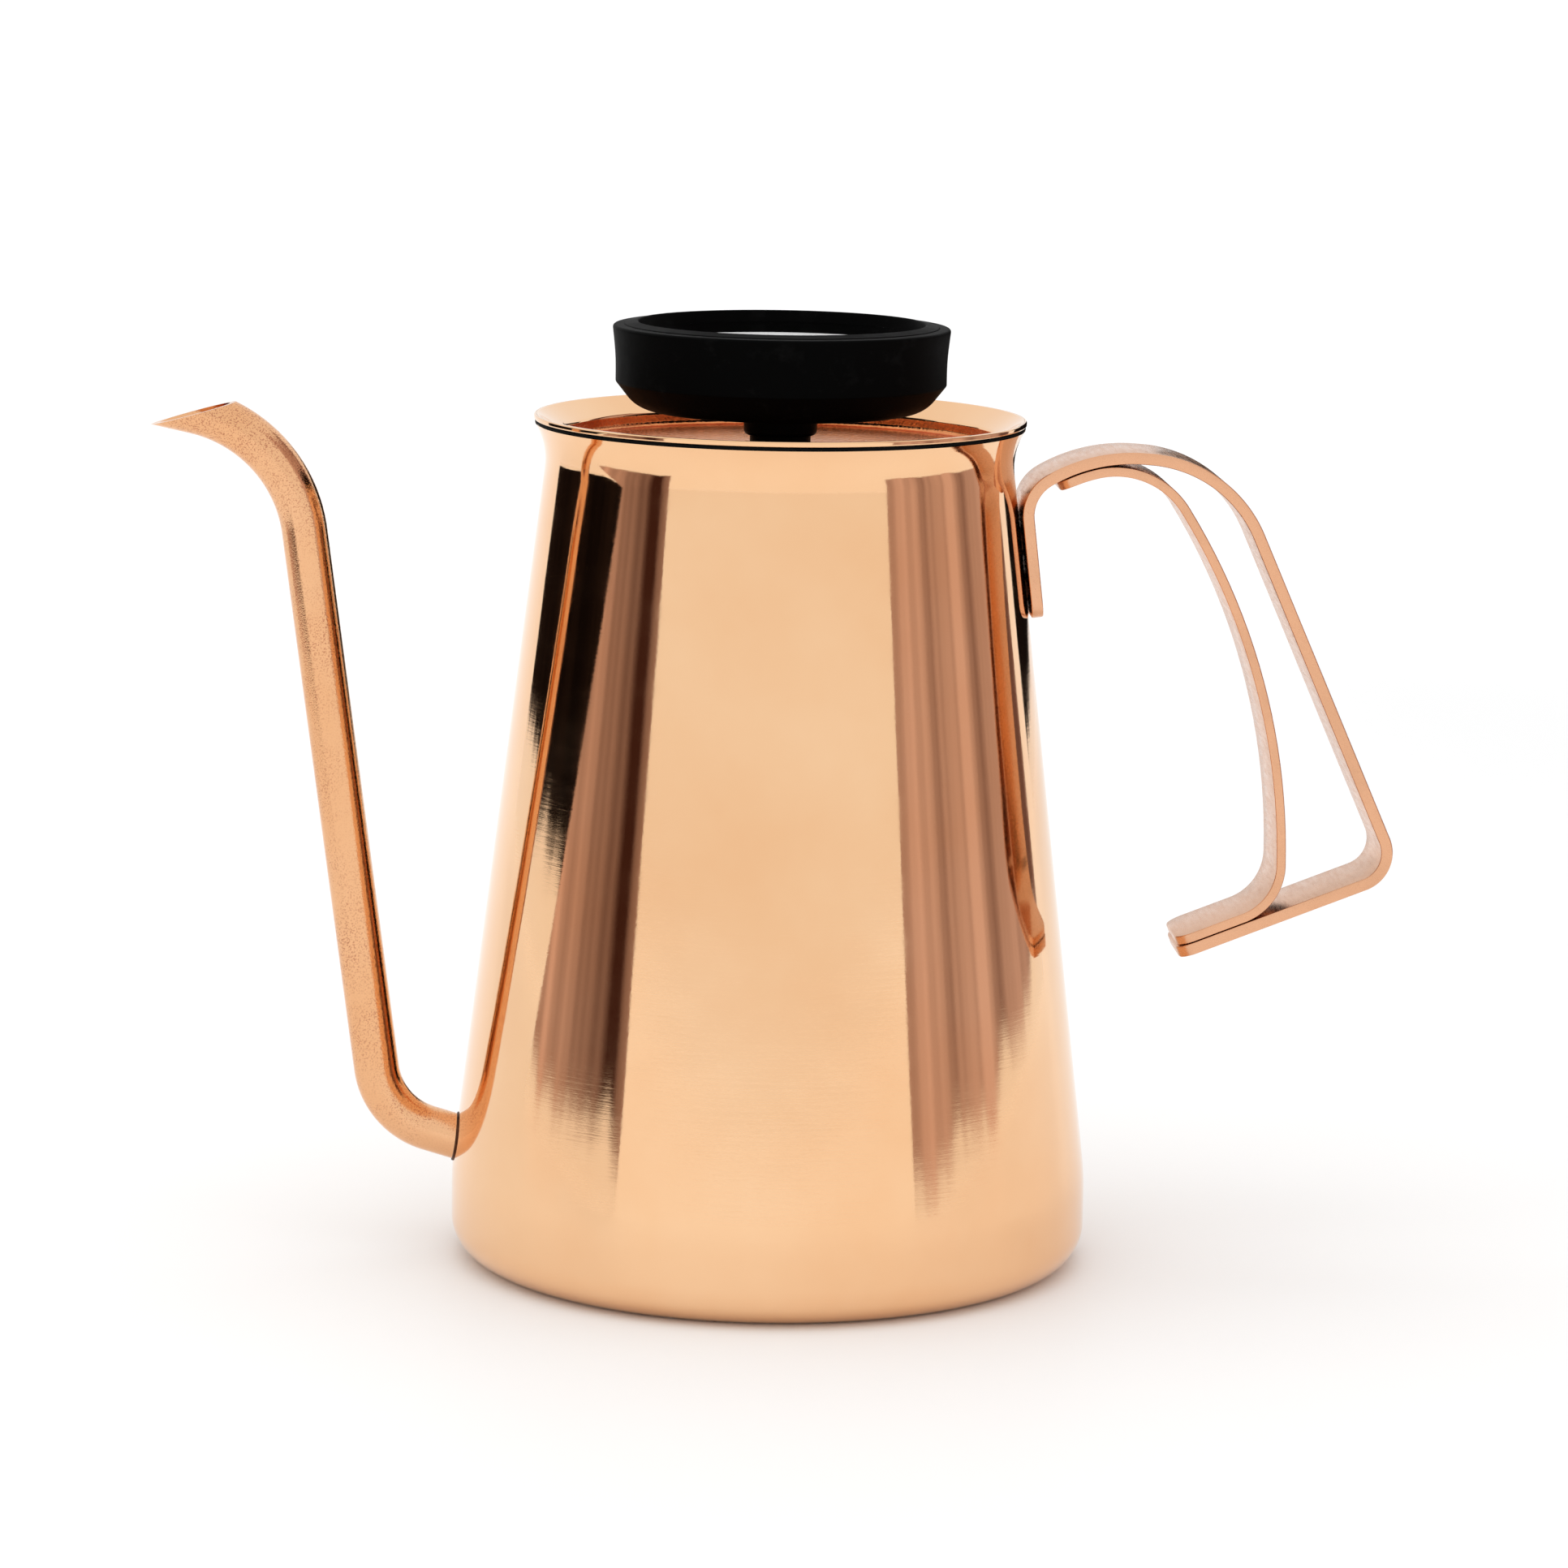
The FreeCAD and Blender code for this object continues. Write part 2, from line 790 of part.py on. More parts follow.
def make_stem():
    wall = size("stem_wall")
    foot = size("stem_foot_height")
    inside = size("stem_radius") - wall
    tube = turned("stem_tube", [
        (ZERO, foot),
        (size("stem_radius"), foot),
        (size("stem_radius"), size("knob_bottom_height") + size("knob_floor")),
        (inside, size("knob_bottom_height") + size("knob_floor")),
        (inside, foot + wall),
        (ZERO, foot + wall),
    ])
    round_rings(tube, [(size("stem_radius"), foot, wall)])
    keep(tube, "stem_tube")
    coil_top = foot + size("coil_length") + wall.times(4)
    spindle = rod("pointer_spindle", size("spindle_radius"), coil_top, size("spindle_top_height"))
    keep(spindle, "pointer_spindle")
    helix = doc.addObject("Part::Helix", "coil_line")
    helix.setExpression("Radius", "Sizes.coil_radius")
    helix.setExpression("Height", "Sizes.coil_length")
    helix.setExpression("Pitch", "Sizes.coil_length / Sizes.coil_turns")
    wire = doc.addObject("Part::Circle", "coil_wire_ring")
    wire.setExpression("Radius", "Sizes.coil_wire")
    wire.setExpression("Placement.Base.x", "Sizes.coil_radius")
    wire.Placement = Placement(Vector(number("coil_radius"), 0, 0), Rotation(Vector(1, 0, 0), 90))
    doc.recompute()
    coil = doc.addObject("Part::Sweep", "bimetal_coil")
    coil.Sections = [wire]
    coil.Spine = (helix, ["Edge1"])
    coil.Solid = True
    coil.Frenet = True
    coil.Placement = Placement(Vector(0, 0, (foot + wall.times(3)).number), Rotation())
    keep(coil, "bimetal_coil")


# ---- build, check and write ----

def check_everything():
    """Stop before anything is written if any object is broken."""
    for thing in doc.Objects:
        if "Invalid" in thing.State or "Error" in thing.State:
            raise RuntimeError("object in error: " + thing.Label)
    for thing in nodes:
        if thing.Shape.isNull() or not thing.Shape.isValid():
            raise RuntimeError("bad shape: " + thing.Label)
        if not thing.Shape.Solids:
            raise RuntimeError("no solid: " + thing.Label)


def write_everything():
    os.makedirs("parts", exist_ok=True)
    for thing in nodes:
        thing.Shape.exportStep("parts/%s.step" % thing.Label)
        box = thing.Shape.BoundBox
        print("%-20s solids %d volume %9.2f  x %.1f..%.1f z %.1f..%.1f" % (
            thing.Label, len(thing.Shape.Solids), thing.Shape.Volume, box.XMin, box.XMax, box.ZMin, box.ZMax))


shell_turned = make_body_shell()
make_base_pan()
make_spout(shell_turned)
outer_strap = strap("handle_outer_strap", outer_path(), size("outer_thick"))
inner_strap = strap("handle_inner_strap", inner_path(), size("inner_thick"))
make_body_welds(shell_turned, outer_strap)
make_arch_welds(outer_strap, inner_strap)
make_tail_welds(outer_strap, inner_strap)
make_lid_pan()
make_lid_seal()
make_collar()
make_washer_and_nut()
make_knob()
make_bezel()
make_dial()
make_pointer()
make_stem()
doc.recompute()
check_everything()
write_everything()
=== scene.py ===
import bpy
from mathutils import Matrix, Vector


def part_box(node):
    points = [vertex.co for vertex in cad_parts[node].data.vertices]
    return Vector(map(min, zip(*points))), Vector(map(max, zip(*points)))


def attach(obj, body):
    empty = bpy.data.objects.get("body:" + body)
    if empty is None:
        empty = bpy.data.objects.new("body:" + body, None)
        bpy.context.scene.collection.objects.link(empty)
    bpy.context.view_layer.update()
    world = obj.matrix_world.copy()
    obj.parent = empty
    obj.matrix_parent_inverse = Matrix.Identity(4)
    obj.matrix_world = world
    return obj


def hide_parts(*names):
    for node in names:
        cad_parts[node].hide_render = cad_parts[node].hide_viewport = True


bl_info = {
    "name": "Gooseneck kettle",
    "version": (1, 0, 0),
    "blender": (4, 5, 0),
    "location": "3D View > Sidebar > Kettle",
    "description": "Builds a polished copper gooseneck kettle with a strap handle and a dial in the lid knob",
    "category": "Object",
}

import math

import bmesh
import bpy
from bpy.props import FloatProperty, FloatVectorProperty, IntProperty, PointerProperty
from bpy.types import Operator, Panel, PropertyGroup
from mathutils import Matrix, Vector

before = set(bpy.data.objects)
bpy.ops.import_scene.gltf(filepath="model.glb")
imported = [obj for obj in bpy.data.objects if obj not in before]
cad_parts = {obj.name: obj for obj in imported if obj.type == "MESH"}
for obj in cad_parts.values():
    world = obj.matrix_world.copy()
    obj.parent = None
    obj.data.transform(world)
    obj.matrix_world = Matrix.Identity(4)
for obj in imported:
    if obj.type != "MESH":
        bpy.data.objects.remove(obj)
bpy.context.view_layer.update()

MM = 0.001
TURN_STEPS = 256          # faces round a turned piece
ARC_STEP = math.radians(5)    # turn between points on a rounded corner
BEND_STEP = math.radians(1.5)  # turn between points on a bend of a strap or tube
SHARP = math.radians(32)
EDGE_FACING = 0.5         # a strap face that looks this much sideways is a cut edge
WHITE = (1.0, 1.0, 1.0)
LONG_MARK_EVERY = 3
LONG_MARK_EXTRA_LENGTH = 1.0   # as a share of a short mark
LONG_MARK_EXTRA_WIDTH = 0.6
PRINT_LIFT = 0.03 * MM         # middle of the raised print above the dial
DIAL_NUMBERS = ("10", "40", "70", "100")
BAND_START = 0.70              # the brewing band, as shares of the scale
BAND_END = 0.84
BEAK_STEPS = 24           # rings between the last whole ring of the spout and its cut
BEAK_MARGIN = 1.0 * MM
BEAD_SPREAD = 1.02        # middle line of the bead, in spout radii
BEAD_SIDES = 12
MERGE_GAP = 0.0001 * MM


# ---------------------------------------------------------------- sizes and colours

def length(name, description, default_mm):
    """A length property, given in millimetres and kept in metres."""
    default = default_mm * MM
    return FloatProperty(name=name, description=description, default=default, unit="LENGTH", precision=5)


def degrees(name, description, default):
    return FloatProperty(name=name, description=description, default=math.radians(default), subtype="ANGLE")


def number(name, description, default, low, high):
    return FloatProperty(name=name, description=description, default=default, min=low, max=high)


def colour(name, description, default):
    return FloatVectorProperty(name=name, description=description, default=default, subtype="COLOR",
                               size=3, min=0.0, max=1.0)


class KettleBodySizes(PropertyGroup):
    base_radius: length("Base radius", "Outside radius of the band at the bottom", 55.0)
    base_corner: length("Base corner", "Round between the underside and the band", 6.5)
    band_height: length("Band height", "Height of the seam between the bottom pan and the wall", 15.0)
    seam_blend: length("Seam blend", "How far the polish rounds the seam, up and down", 3.0)
    wall: length("Wall", "Thickness of the body sheet", 1.0)
    neck_radius: length("Neck radius", "Outside radius where the wall and the flare would meet", 39.6)
    neck_height: length("Neck height", "Height where the wall and the flare would meet", 141.0)
    neck_curve: length("Neck curve", "Radius of the curve into the flare", 12.0)
    mouth_radius: length("Mouth radius", "Outside radius of the mouth", 41.8)
    mouth_height: length("Mouth height", "Height of the mouth", 144.6)


class KettleSpoutSizes(PropertyGroup):
    radius: length("Tube radius", "Outside radius of the spout tube", 3.9)
    wall: length("Tube wall", "Wall of the spout tube", 0.7)
    foot_height: length("Foot height", "Height where the tube leaves the wall", 20.1)
    foot_rise: degrees("Foot rise", "Slope of the tube where it leaves the wall", 17.0)
    foot_length: length("Foot length", "Straight run before the low bend", 4.9)
    low_bend: length("Low bend", "Radius of the bend at the foot", 13.0)
    leg_lean: degrees("Leg lean", "How far the long leg leans out", 7.7)
    leg_length: length("Leg length", "Length of the long straight leg", 94.3)
    high_bend: length("High bend", "Radius of the gooseneck", 24.0)
    beak_rise: degrees("Beak rise", "Slope of the tube at the beak", 12.5)
    beak_length: length("Beak length", "Straight run past the gooseneck, before the cut", 12.0)
    cut_slope: degrees("Cut slope", "Slope of the cut across the beak", 15.7)
    cut_reach: length("Cut reach", "Distance of the middle of the cut from the kettle's axis", 99.95)
    cut_height: length("Cut height", "Height of the middle of the cut", 145.45)
    bead_radius: length("Bead radius", "Radius of the bead of filler at the foot", 0.24)
    bead_stand_off: length("Bead stand-off", "How far the bead lies outside the wall", 0.05)


class KettleHandleSizes(PropertyGroup):
    width: length("Strap width", "Width of both straps", 16.0)
    corner: length("Strap corner", "Round at the corners of the strap ends", 3.0)
    edge: length("Edge round", "Broken edge all round a strap", 0.22)
    outer_thick: length("Outer thickness", "Thickness of the outer strap", 2.0)
    inner_thick: length("Inner thickness", "Thickness of the inner strap", 1.6)
    gap: length("Strap gap", "Gap between the straps where they lie together", 0.2)
    tab_gap: length("Tab gap", "Gap between the tab and the wall", 0.1)
    tab_foot: length("Tab foot", "Height of the lower end of the tab", 112.5)
    tab_length: length("Tab length", "Straight length of the tab", 17.1)
    tab_bend: length("Tab bend", "Radius of the bend from the tab into the arch", 7.0)
    arch_rise: degrees("Arch rise", "Slope where the arch starts", 30.6)
    arch_radius: length("Arch radius", "Radius of the rising part of the arch", 28.0)
    arch_fall: degrees("Arch fall", "Slope past the top of the arch", 4.0)
    crest_length: length("Crest length", "Straight run past the arch", 1.2)
    shoulder_bend: length("Shoulder bend", "Radius of the shoulder", 22.3)
    shoulder_turn: degrees("Shoulder turn", "Turn of the shoulder", 62.0)
    back_length: length("Back length", "Straight run down the back of the handle", 57.3)
    tail_bend: length("Tail bend", "Radius of the bend at the foot of the handle", 5.8)
    tail_turn: degrees("Tail turn", "Turn of the bend at the foot of the handle", 92.8)
    tail_length: length("Tail length", "Straight run of the free tail", 34.2)
    inner_rise: degrees("Inner rise", "Slope where the inner strap starts", 28.7)
    inner_arch_turn: degrees("Inner arch turn", "Turn of the inner strap under the arch", 15.1)
    inner_crest_bend: length("Inner crest bend", "Radius where the inner strap turns down", 14.2)
    inner_crest_turn: degrees("Inner crest turn", "Turn where the inner strap turns down", 70.7)
    inner_grip_bend: length("Inner grip bend", "Radius of the long curve of the grip", 114.2)
    inner_grip_turn: degrees("Inner grip turn", "Turn of the long curve of the grip", 32.6)
    inner_tail_bend: length("Inner tail bend", "Radius where the inner strap meets the tail", 9.8)
    inner_tail_turn: degrees("Inner tail turn", "Turn where the inner strap meets the tail", 69.1)
    inner_tail_length: length("Inner tail length", "Straight run of the inner strap on the tail", 12.2)


class KettleLidSizes(PropertyGroup):
    radius: length("Lid radius", "Outside radius of the flange", 42.0)
    height: length("Lid height", "Height of the top of the flange", 146.1)
    thick: length("Lid thickness", "Thickness of the lid sheet", 0.9)
    rim: length("Lid rim", "Flat width at the edge of the flange", 0.7)
    pan_radius: length("Pan radius", "Inside radius of the sunk pan", 37.4)
    lip_height: length("Lip height", "Height where the flange turns down into the pan", 143.1)
    floor_height: length("Floor height", "Height of the floor of the pan", 140.8)
    seat_gap: length("Seat gap", "Play at the seal and collar", 0.05)
    seal_top_width: length("Seal top width", "Width of the seal under the flange", 0.9)
    seal_width: length("Seal width", "Full width of the seal", 2.6)
    seal_top_drop: length("Seal top drop", "Height of the slope inside the seal", 1.55)
    seal_seat_width: length("Seal seat width", "Width of the seal on the mouth", 1.4)
    seal_hang: length("Seal hang", "How far the seal hangs inside the mouth", 1.9)


class KettleKnobSizes(PropertyGroup):
    collar_radius: length("Collar radius", "Radius of the foot under the knob", 6.25)
    collar_foot: length("Collar foot", "Height where the foot steps in", 142.9)
    neck_radius: length("Neck radius", "Radius of the step below the foot", 5.2)
    shank_radius: length("Shank radius", "Radius of the threaded shank", 4.0)
    shank_foot: length("Shank foot", "Height of the lower end of the shank", 136.0)
    bottom_height: length("Knob bottom", "Height of the knob's underside", 147.0)
    bottom_radius: length("Bottom radius", "Radius where the underside and chamfer would meet", 24.4)
    bottom_round: length("Bottom round", "Round between the underside and the chamfer", 6.0)
    waist_radius: length("Waist radius", "Radius above the chamfer", 28.2)
    waist_height: length("Waist height", "Height above the chamfer", 151.8)
    hollow_height: length("Hollow height", "Height where the side starts to flare", 156.2)
    top_radius: length("Top radius", "Radius at the top", 28.8)
    top_height: length("Top height", "Height of the top corner", 161.4)
    wall: length("Knob wall", "Width of the knob's own rim outside the bezel", 2.0)
    bezel_radius: length("Bezel radius", "Inside radius of the crowned bezel", 24.5)
    bezel_foot: length("Bezel foot", "Inside radius of the bezel at the glass", 23.9)
    bezel_edge: length("Bezel edge", "Height of the bezel's outer edge", 161.6)
    bezel_height: length("Bezel height", "Height of the crown", 162.1)
    glass_height: length("Glass height", "Height of the top of the glass", 160.1)
    glass_thick: length("Glass thickness", "Thickness of the glass", 1.5)
    glass_radius: length("Glass radius", "Radius of the glass", 24.6)
    ledge: length("Ledge", "Width of the ledge under the glass", 1.2)
    pointer_height: length("Pointer height", "Height of the underside of the pointer", 156.5)
    pointer_thick: length("Pointer thickness", "Thickness of the pointer", 0.4)
    pointer_hub: length("Pointer hub", "Radius of the pointer's hub", 2.6)
    pointer_length: length("Pointer length", "Reach of the pointer from the axis", 20.0)
    pointer_tail: length("Pointer tail", "Reach of the pointer behind the axis", 6.0)
    mark_radius: length("Mark radius", "Distance of the marks from the axis", 20.6)
    mark_length: length("Mark length", "Length of a short mark", 1.3)
    mark_width: length("Mark width", "Width of a short mark", 0.28)
    print_height: length("Print height", "Thickness of the raised print", 0.05)
    band_inside: length("Band inside", "Inside radius of the brewing band", 21.9)
    band_outside: length("Band outside", "Outside radius of the brewing band", 23.0)
    number_radius: length("Number radius", "Distance of the numbers from the axis", 15.2)
    number_size: length("Number size", "Height of the numbers", 4.2)
    cold_angle: degrees("Cold angle", "Angle of the pointer from +X when cold", 225.0)
    scale_sweep: degrees("Scale sweep", "Turn of the pointer from cold to hot", 270.0)
    dial_marks: IntProperty(name="Dial marks", description="Marks round the dial", default=28, min=8, max=120)


class KettleColours(PropertyGroup):
    copper: colour("Copper", "Colour of the polished copper", (0.90, 0.575, 0.335))
    copper_deep: colour("Deep copper", "Colour in the deeper patches of the polish", (0.865, 0.515, 0.28))
    spout: colour("Spout copper", "Colour of the spout", (0.85, 0.49, 0.27))
    spout_deep: colour("Deep spout copper", "Colour in the deeper patches of the spout", (0.80, 0.42, 0.205))
    speckle: colour("Speckle", "Colour of the fine speckle on the spout", (0.46, 0.17, 0.09))
    # Painted shade: the sunk pan's copper is darker and redder than the body's, for the shade under the knob;
    # its pebbled skin and patches are its own.
    pan: colour("Pan copper", "Colour of the sunk pan", (0.80, 0.32, 0.13))
    pan_deep: colour("Deep pan copper", "Colour in the deeper patches of the pan", (0.58, 0.17, 0.05))
    strap_edge: colour("Strap edge", "Colour of the cut edges of the handle", (0.76, 0.41, 0.24))
    # Painted shade: the broad faces of the straps get a darker copy of the strap copper, for the shade on
    # them; the cut edges keep the lighter one.
    strap_shaded_face: colour("Strap face", "Colour of the worn faces of the handle", (0.66, 0.37, 0.225))
    strap_stain: colour("Strap stain", "Colour of the stains on the handle", (0.38, 0.21, 0.12))
    braze: colour("Braze", "Colour of the filler at the spout", (0.10, 0.04, 0.02))
    black: colour("Knob black", "Colour of the knob", (0.0012, 0.0012, 0.0012))
    seal: colour("Seal black", "Colour of the seal", (0.004, 0.004, 0.004))
    dial: colour("Dial", "Colour of the dial plate", (0.012, 0.012, 0.012))
    ink: colour("Dial ink", "Colour of the marks", (0.62, 0.61, 0.58))
    warm_ink: colour("Warm ink", "Colour of the brewing band on the dial", (0.70, 0.16, 0.05))
    steel: colour("Steel", "Colour of the stem and nut", (0.60, 0.59, 0.57))
    nylon: colour("Nylon", "Colour of the washer", (0.62, 0.60, 0.55))


class KettleStage(PropertyGroup):
    camera_distance: length("Camera distance", "Distance of the camera from the kettle's axis", 950.0)
    camera_height: length("Camera height", "Height of the camera", 244.0)
    camera_turn: degrees("Camera turn", "How far the camera stands round towards the spout", 3.5)
    camera_yaw: degrees("Camera yaw", "Aim to the right of the axis", 0.10)
    camera_pitch: degrees("Camera pitch", "Aim below the horizon", 9.65)
    camera_roll: degrees("Camera roll", "Tilt of the camera", 0.98)
    lens: number("Lens", "Focal length in millimetres", 128.4, 20.0, 300.0)
    floor: colour("Floor", "Colour of the floor", (0.93, 0.93, 0.93))
    sky: number("Room light", "Strength of the white room", 1.0, 0.0, 5.0)
    sun: number("Top light", "Strength of the soft top light", 0.6, 0.0, 9.0)
    sun_spread: degrees("Top light spread", "How wide the top light is seen from below", 70.0)
    sun_tilt: degrees("Top light tilt", "Tilt of the top light about X", 6.0)
    sun_lean: degrees("Top light lean", "Lean of the top light about Y", -3.0)
    card_distance: length("Card distance", "Distance of the reflector cards from the axis", 800.0)
    near_card_distance: length("Near card distance", "Distance from the kettle to the nearer cards", 450.0)
    card_height: length("Card height", "Height of the top of the cards", 340.0)
    tall_card_height: length("Tall card height", "Height of the top of the tallest card", 620.0)


# ---------------------------------------------------------------- mesh helpers

def new_piece(name, mesh):
    """An object for a finished mesh, in the scene, with smooth faces and crisp edges."""
    thing = bpy.data.objects.new(name, mesh)
    bpy.context.scene.collection.objects.link(thing)
    mesh.shade_smooth()
    mesh.set_sharp_from_angle(angle=SHARP)
    return thing


def dress(thing, material):
    thing.data.materials.clear()
    thing.data.materials.append(material)


def settle(thing, material, body, node=None):
    """Give a finished piece its material and body, and hide the node it stands for."""
    dress(thing, material)
    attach(thing, body)
    if node:
        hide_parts(node)


def mesh_from(name, points, faces):
    """A closed mesh whose faces point outwards."""
    mesh = bpy.data.meshes.new(name)
    shape = bmesh.new()
    corners = [shape.verts.new(point) for point in points]
    for face in faces:
        shape.faces.new([corners[i] for i in face])
    bmesh.ops.recalc_face_normals(shape, faces=shape.faces)
    shape.to_mesh(mesh)
    shape.free()
    return mesh


def swept_grid(rows):
    """Faces of a tube of rings, open at both ends. Rows hold point numbers."""
    faces = []
    for low, high in zip(rows, rows[1:]):
        for i in range(len(low)):
            j = (i + 1) % len(low)
            faces.append((low[i], low[j], high[j], high[i]))
    return faces


def ring_mesh(name, rings, looped):
    """A mesh through rings of points. A looped one joins its ends, any other has a cap at each end."""
    count = len(rings[0])
    points = [point for ring in rings for point in ring]
    rows = [list(range(count * k, count * (k + 1))) for k in range(len(rings))]
    if looped:
        return mesh_from(name, points, swept_grid(rows + [rows[0]]))
    return mesh_from(name, points, swept_grid(rows) + [rows[0][::-1], rows[-1]])


def rounded(corners):
    """Points of a closed outline. Each corner is (radius, height, size of its round)."""
    count = len(corners)
    points = []
    for i in range(count):
        here = Vector(corners[i][:2])
        before = Vector(corners[i - 1][:2])
        after = Vector(corners[(i + 1) % count][:2])
        curve = corners[i][2]
        if curve <= 0:
            points.append(here)
            continue
        to_before = (before - here).normalized()
        to_after = (after - here).normalized()
        half = to_before.angle(to_after) / 2
        reach = curve / math.tan(half)
        centre = here + (to_before + to_after).normalized() * (curve / math.sin(half))
        start = here + to_before * reach - centre
        sweep = math.pi - 2 * half
        side = 1 if to_before.x * to_after.y - to_before.y * to_after.x < 0 else -1
        steps = max(3, math.ceil(sweep / ARC_STEP))
        spare = min((before - here).length, (after - here).length) - reach
        lead = min(0.5 * MM, max(spare, 0) * 0.3)
        if lead > 0.02 * MM:
            points.append(here + to_before * (reach + lead))
        for step in range(steps + 1):
            angle = side * sweep * step / steps
            turned = Vector((
                start.x * math.cos(angle) - start.y * math.sin(angle),
                start.x * math.sin(angle) + start.y * math.cos(angle),
            ))
            points.append(centre + turned)
        if lead > 0.02 * MM:
            points.append(here + to_after * (reach + lead))
    return points


def turned(name, corners, material, steps=TURN_STEPS):
    """A closed piece turned about Z from its outline with geometry nodes."""
    outline = rounded(corners)
    mesh = bpy.data.meshes.new(name)
    mesh.from_pydata([(spot.x, 0, spot.y) for spot in outline], [], [])
    piece = new_piece(name, mesh)
    return shape_with(piece, turn_tree(), {"Steps": steps, "Points": len(outline), "Material": material})


def turned_node(name, corners, look, body, node, steps=TURN_STEPS):
    """A turned piece with its finish and body, in place of a node."""
    piece = turned(name, corners, finish(look), steps)
    settle(piece, finish(look), body, node)
    return piece


class Walk:
    """A line of straight runs and bends in the XZ plane. Headings are measured up from +X."""

    def __init__(self, across, up, heading):
        self.here = Vector((across, 0, up))
        self.heading = heading
        self.spots = [(self.here.copy(), heading)]

    def along(self):
        return Vector((math.cos(self.heading), 0, math.sin(self.heading)))

    def left(self):
        return Vector((-math.sin(self.heading), 0, math.cos(self.heading)))

    def straight(self, distance):
        steps = max(2, math.ceil(distance / (6 * MM)))
        for _ in range(steps):
            self.here = self.here + self.along() * distance / steps
            self.spots.append((self.here.copy(), self.heading))

    def bend(self, radius, turn):
        side = 1 if turn > 0 else -1
        centre = self.here + self.left() * radius * side
        steps = max(3, math.ceil(abs(turn) / BEND_STEP))
        first = self.heading
        for step in range(1, steps + 1):
            self.heading = first + turn * step / steps
            self.here = centre - self.left() * radius * side
            self.spots.append((self.here.copy(), self.heading))
        return centre


def run_lengths(walk):
    """How far along the walk each of its points is."""
    stations = [0.0]
    for (before, _), (spot, _) in zip(walk.spots, walk.spots[1:]):
        stations.append(stations[-1] + (spot - before).length)
    return stations


def bent(name, walk, blank, material):
    """A straight blank bent along a walk with geometry nodes."""
    line = bpy.data.curves.new(name + "_path", "CURVE")
    line.dimensions = "3D"
    spline = line.splines.new("POLY")
    spline.points.add(len(walk.spots) - 1)
    for i, (spot, _) in enumerate(walk.spots):
        spline.points[i].co = (*spot, 1.0)
    path = bpy.data.objects.new(name + "_path", line)
    bpy.context.scene.collection.objects.link(path)
    piece = new_piece(name, blank)
    shape_with(piece, bend_tree(), {"Path": path, "Material": material})
    bpy.data.objects.remove(path)
    return piece


# ---------------------------------------------------------------- node helpers

def feed(tree, node, sockets):
    """Link each named input of a node to a socket, or set it to a value."""
    for label, value in sockets.items():
        if isinstance(value, bpy.types.NodeSocket):
            tree.links.new(value, node.inputs[label])
        else:
            node.inputs[label].default_value = value
    return node


def add_node(tree, kind, sockets=None):
    return feed(tree, tree.nodes.new(kind), sockets or {})


def maths(tree, operation, first, second=0.0):
    """A maths node on two sockets or numbers."""
    node = tree.nodes.new("ShaderNodeMath")
    node.operation = operation
    return feed(tree, node, {0: first, 1: second}).outputs[0]


def vector_maths(tree, operation, first, second):
    """A vector maths node. The second input of SCALE is a number, of the others a vector."""
    node = tree.nodes.new("ShaderNodeVectorMath")
    node.operation = operation
    return feed(tree, node, {0: first, "Scale" if operation == "SCALE" else 1: second}).outputs[0]


def combined(tree, sockets):
    return add_node(tree, "ShaderNodeCombineXYZ", sockets).outputs[0]


def separated(tree, vector):
    return add_node(tree, "ShaderNodeSeparateXYZ", {0: vector}).outputs


# ---------------------------------------------------------------- geometry trees

def start_tree(name, inputs):
    """An empty geometry tree with one geometry in and out, and the named inputs."""
    tree = bpy.data.node_groups.new(name, "GeometryNodeTree")
    tree.interface.new_socket("Geometry", in_out="INPUT", socket_type="NodeSocketGeometry")
    for label, kind in (*inputs.items(), ("Material", "Material")):
        tree.interface.new_socket(label, in_out="INPUT", socket_type="NodeSocket" + kind)
    tree.interface.new_socket("Geometry", in_out="OUTPUT", socket_type="NodeSocketGeometry")
    return tree, tree.nodes.new("NodeGroupInput").outputs


def finish_tree(tree, shape, given):
    """Realize Instances and Set Material at the end of a tree."""
    real = add_node(tree, "GeometryNodeRealizeInstances", {0: shape})
    sockets = {"Geometry": real.outputs[0], "Material": given["Material"]}
    paint = add_node(tree, "GeometryNodeSetMaterial", sockets)
    add_node(tree, "NodeGroupOutput", {0: paint.outputs[0]})
    return tree


def moved(tree, geometry, position):
    sockets = {"Geometry": geometry, "Position": position}
    return add_node(tree, "GeometryNodeSetPosition", sockets).outputs[0]


def close_up(mesh):
    """Merge doubled points, then turn every face outwards."""
    shape = bmesh.new()
    shape.from_mesh(mesh)
    bmesh.ops.remove_doubles(shape, verts=shape.verts, dist=MERGE_GAP)
    bmesh.ops.recalc_face_normals(shape, faces=shape.faces)
    shape.to_mesh(mesh)
    shape.free()


def shape_with(thing, tree, values):
    """Run a tree on an object and keep the result as its plain mesh."""
    modifier = thing.modifiers.new("shape", "NODES")
    modifier.node_group = tree
    for item in tree.interface.items_tree:
        if item.in_out == "INPUT" and item.name in values:
            modifier[item.identifier] = values[item.name]
    bpy.context.view_layer.update()
    graph = bpy.context.evaluated_depsgraph_get()
    mesh = bpy.data.meshes.new_from_object(thing.evaluated_get(graph))
    thing.modifiers.remove(modifier)
    thing.data = mesh
    close_up(mesh)
    mesh.shade_smooth()
    mesh.set_sharp_from_angle(angle=SHARP)
    return thing


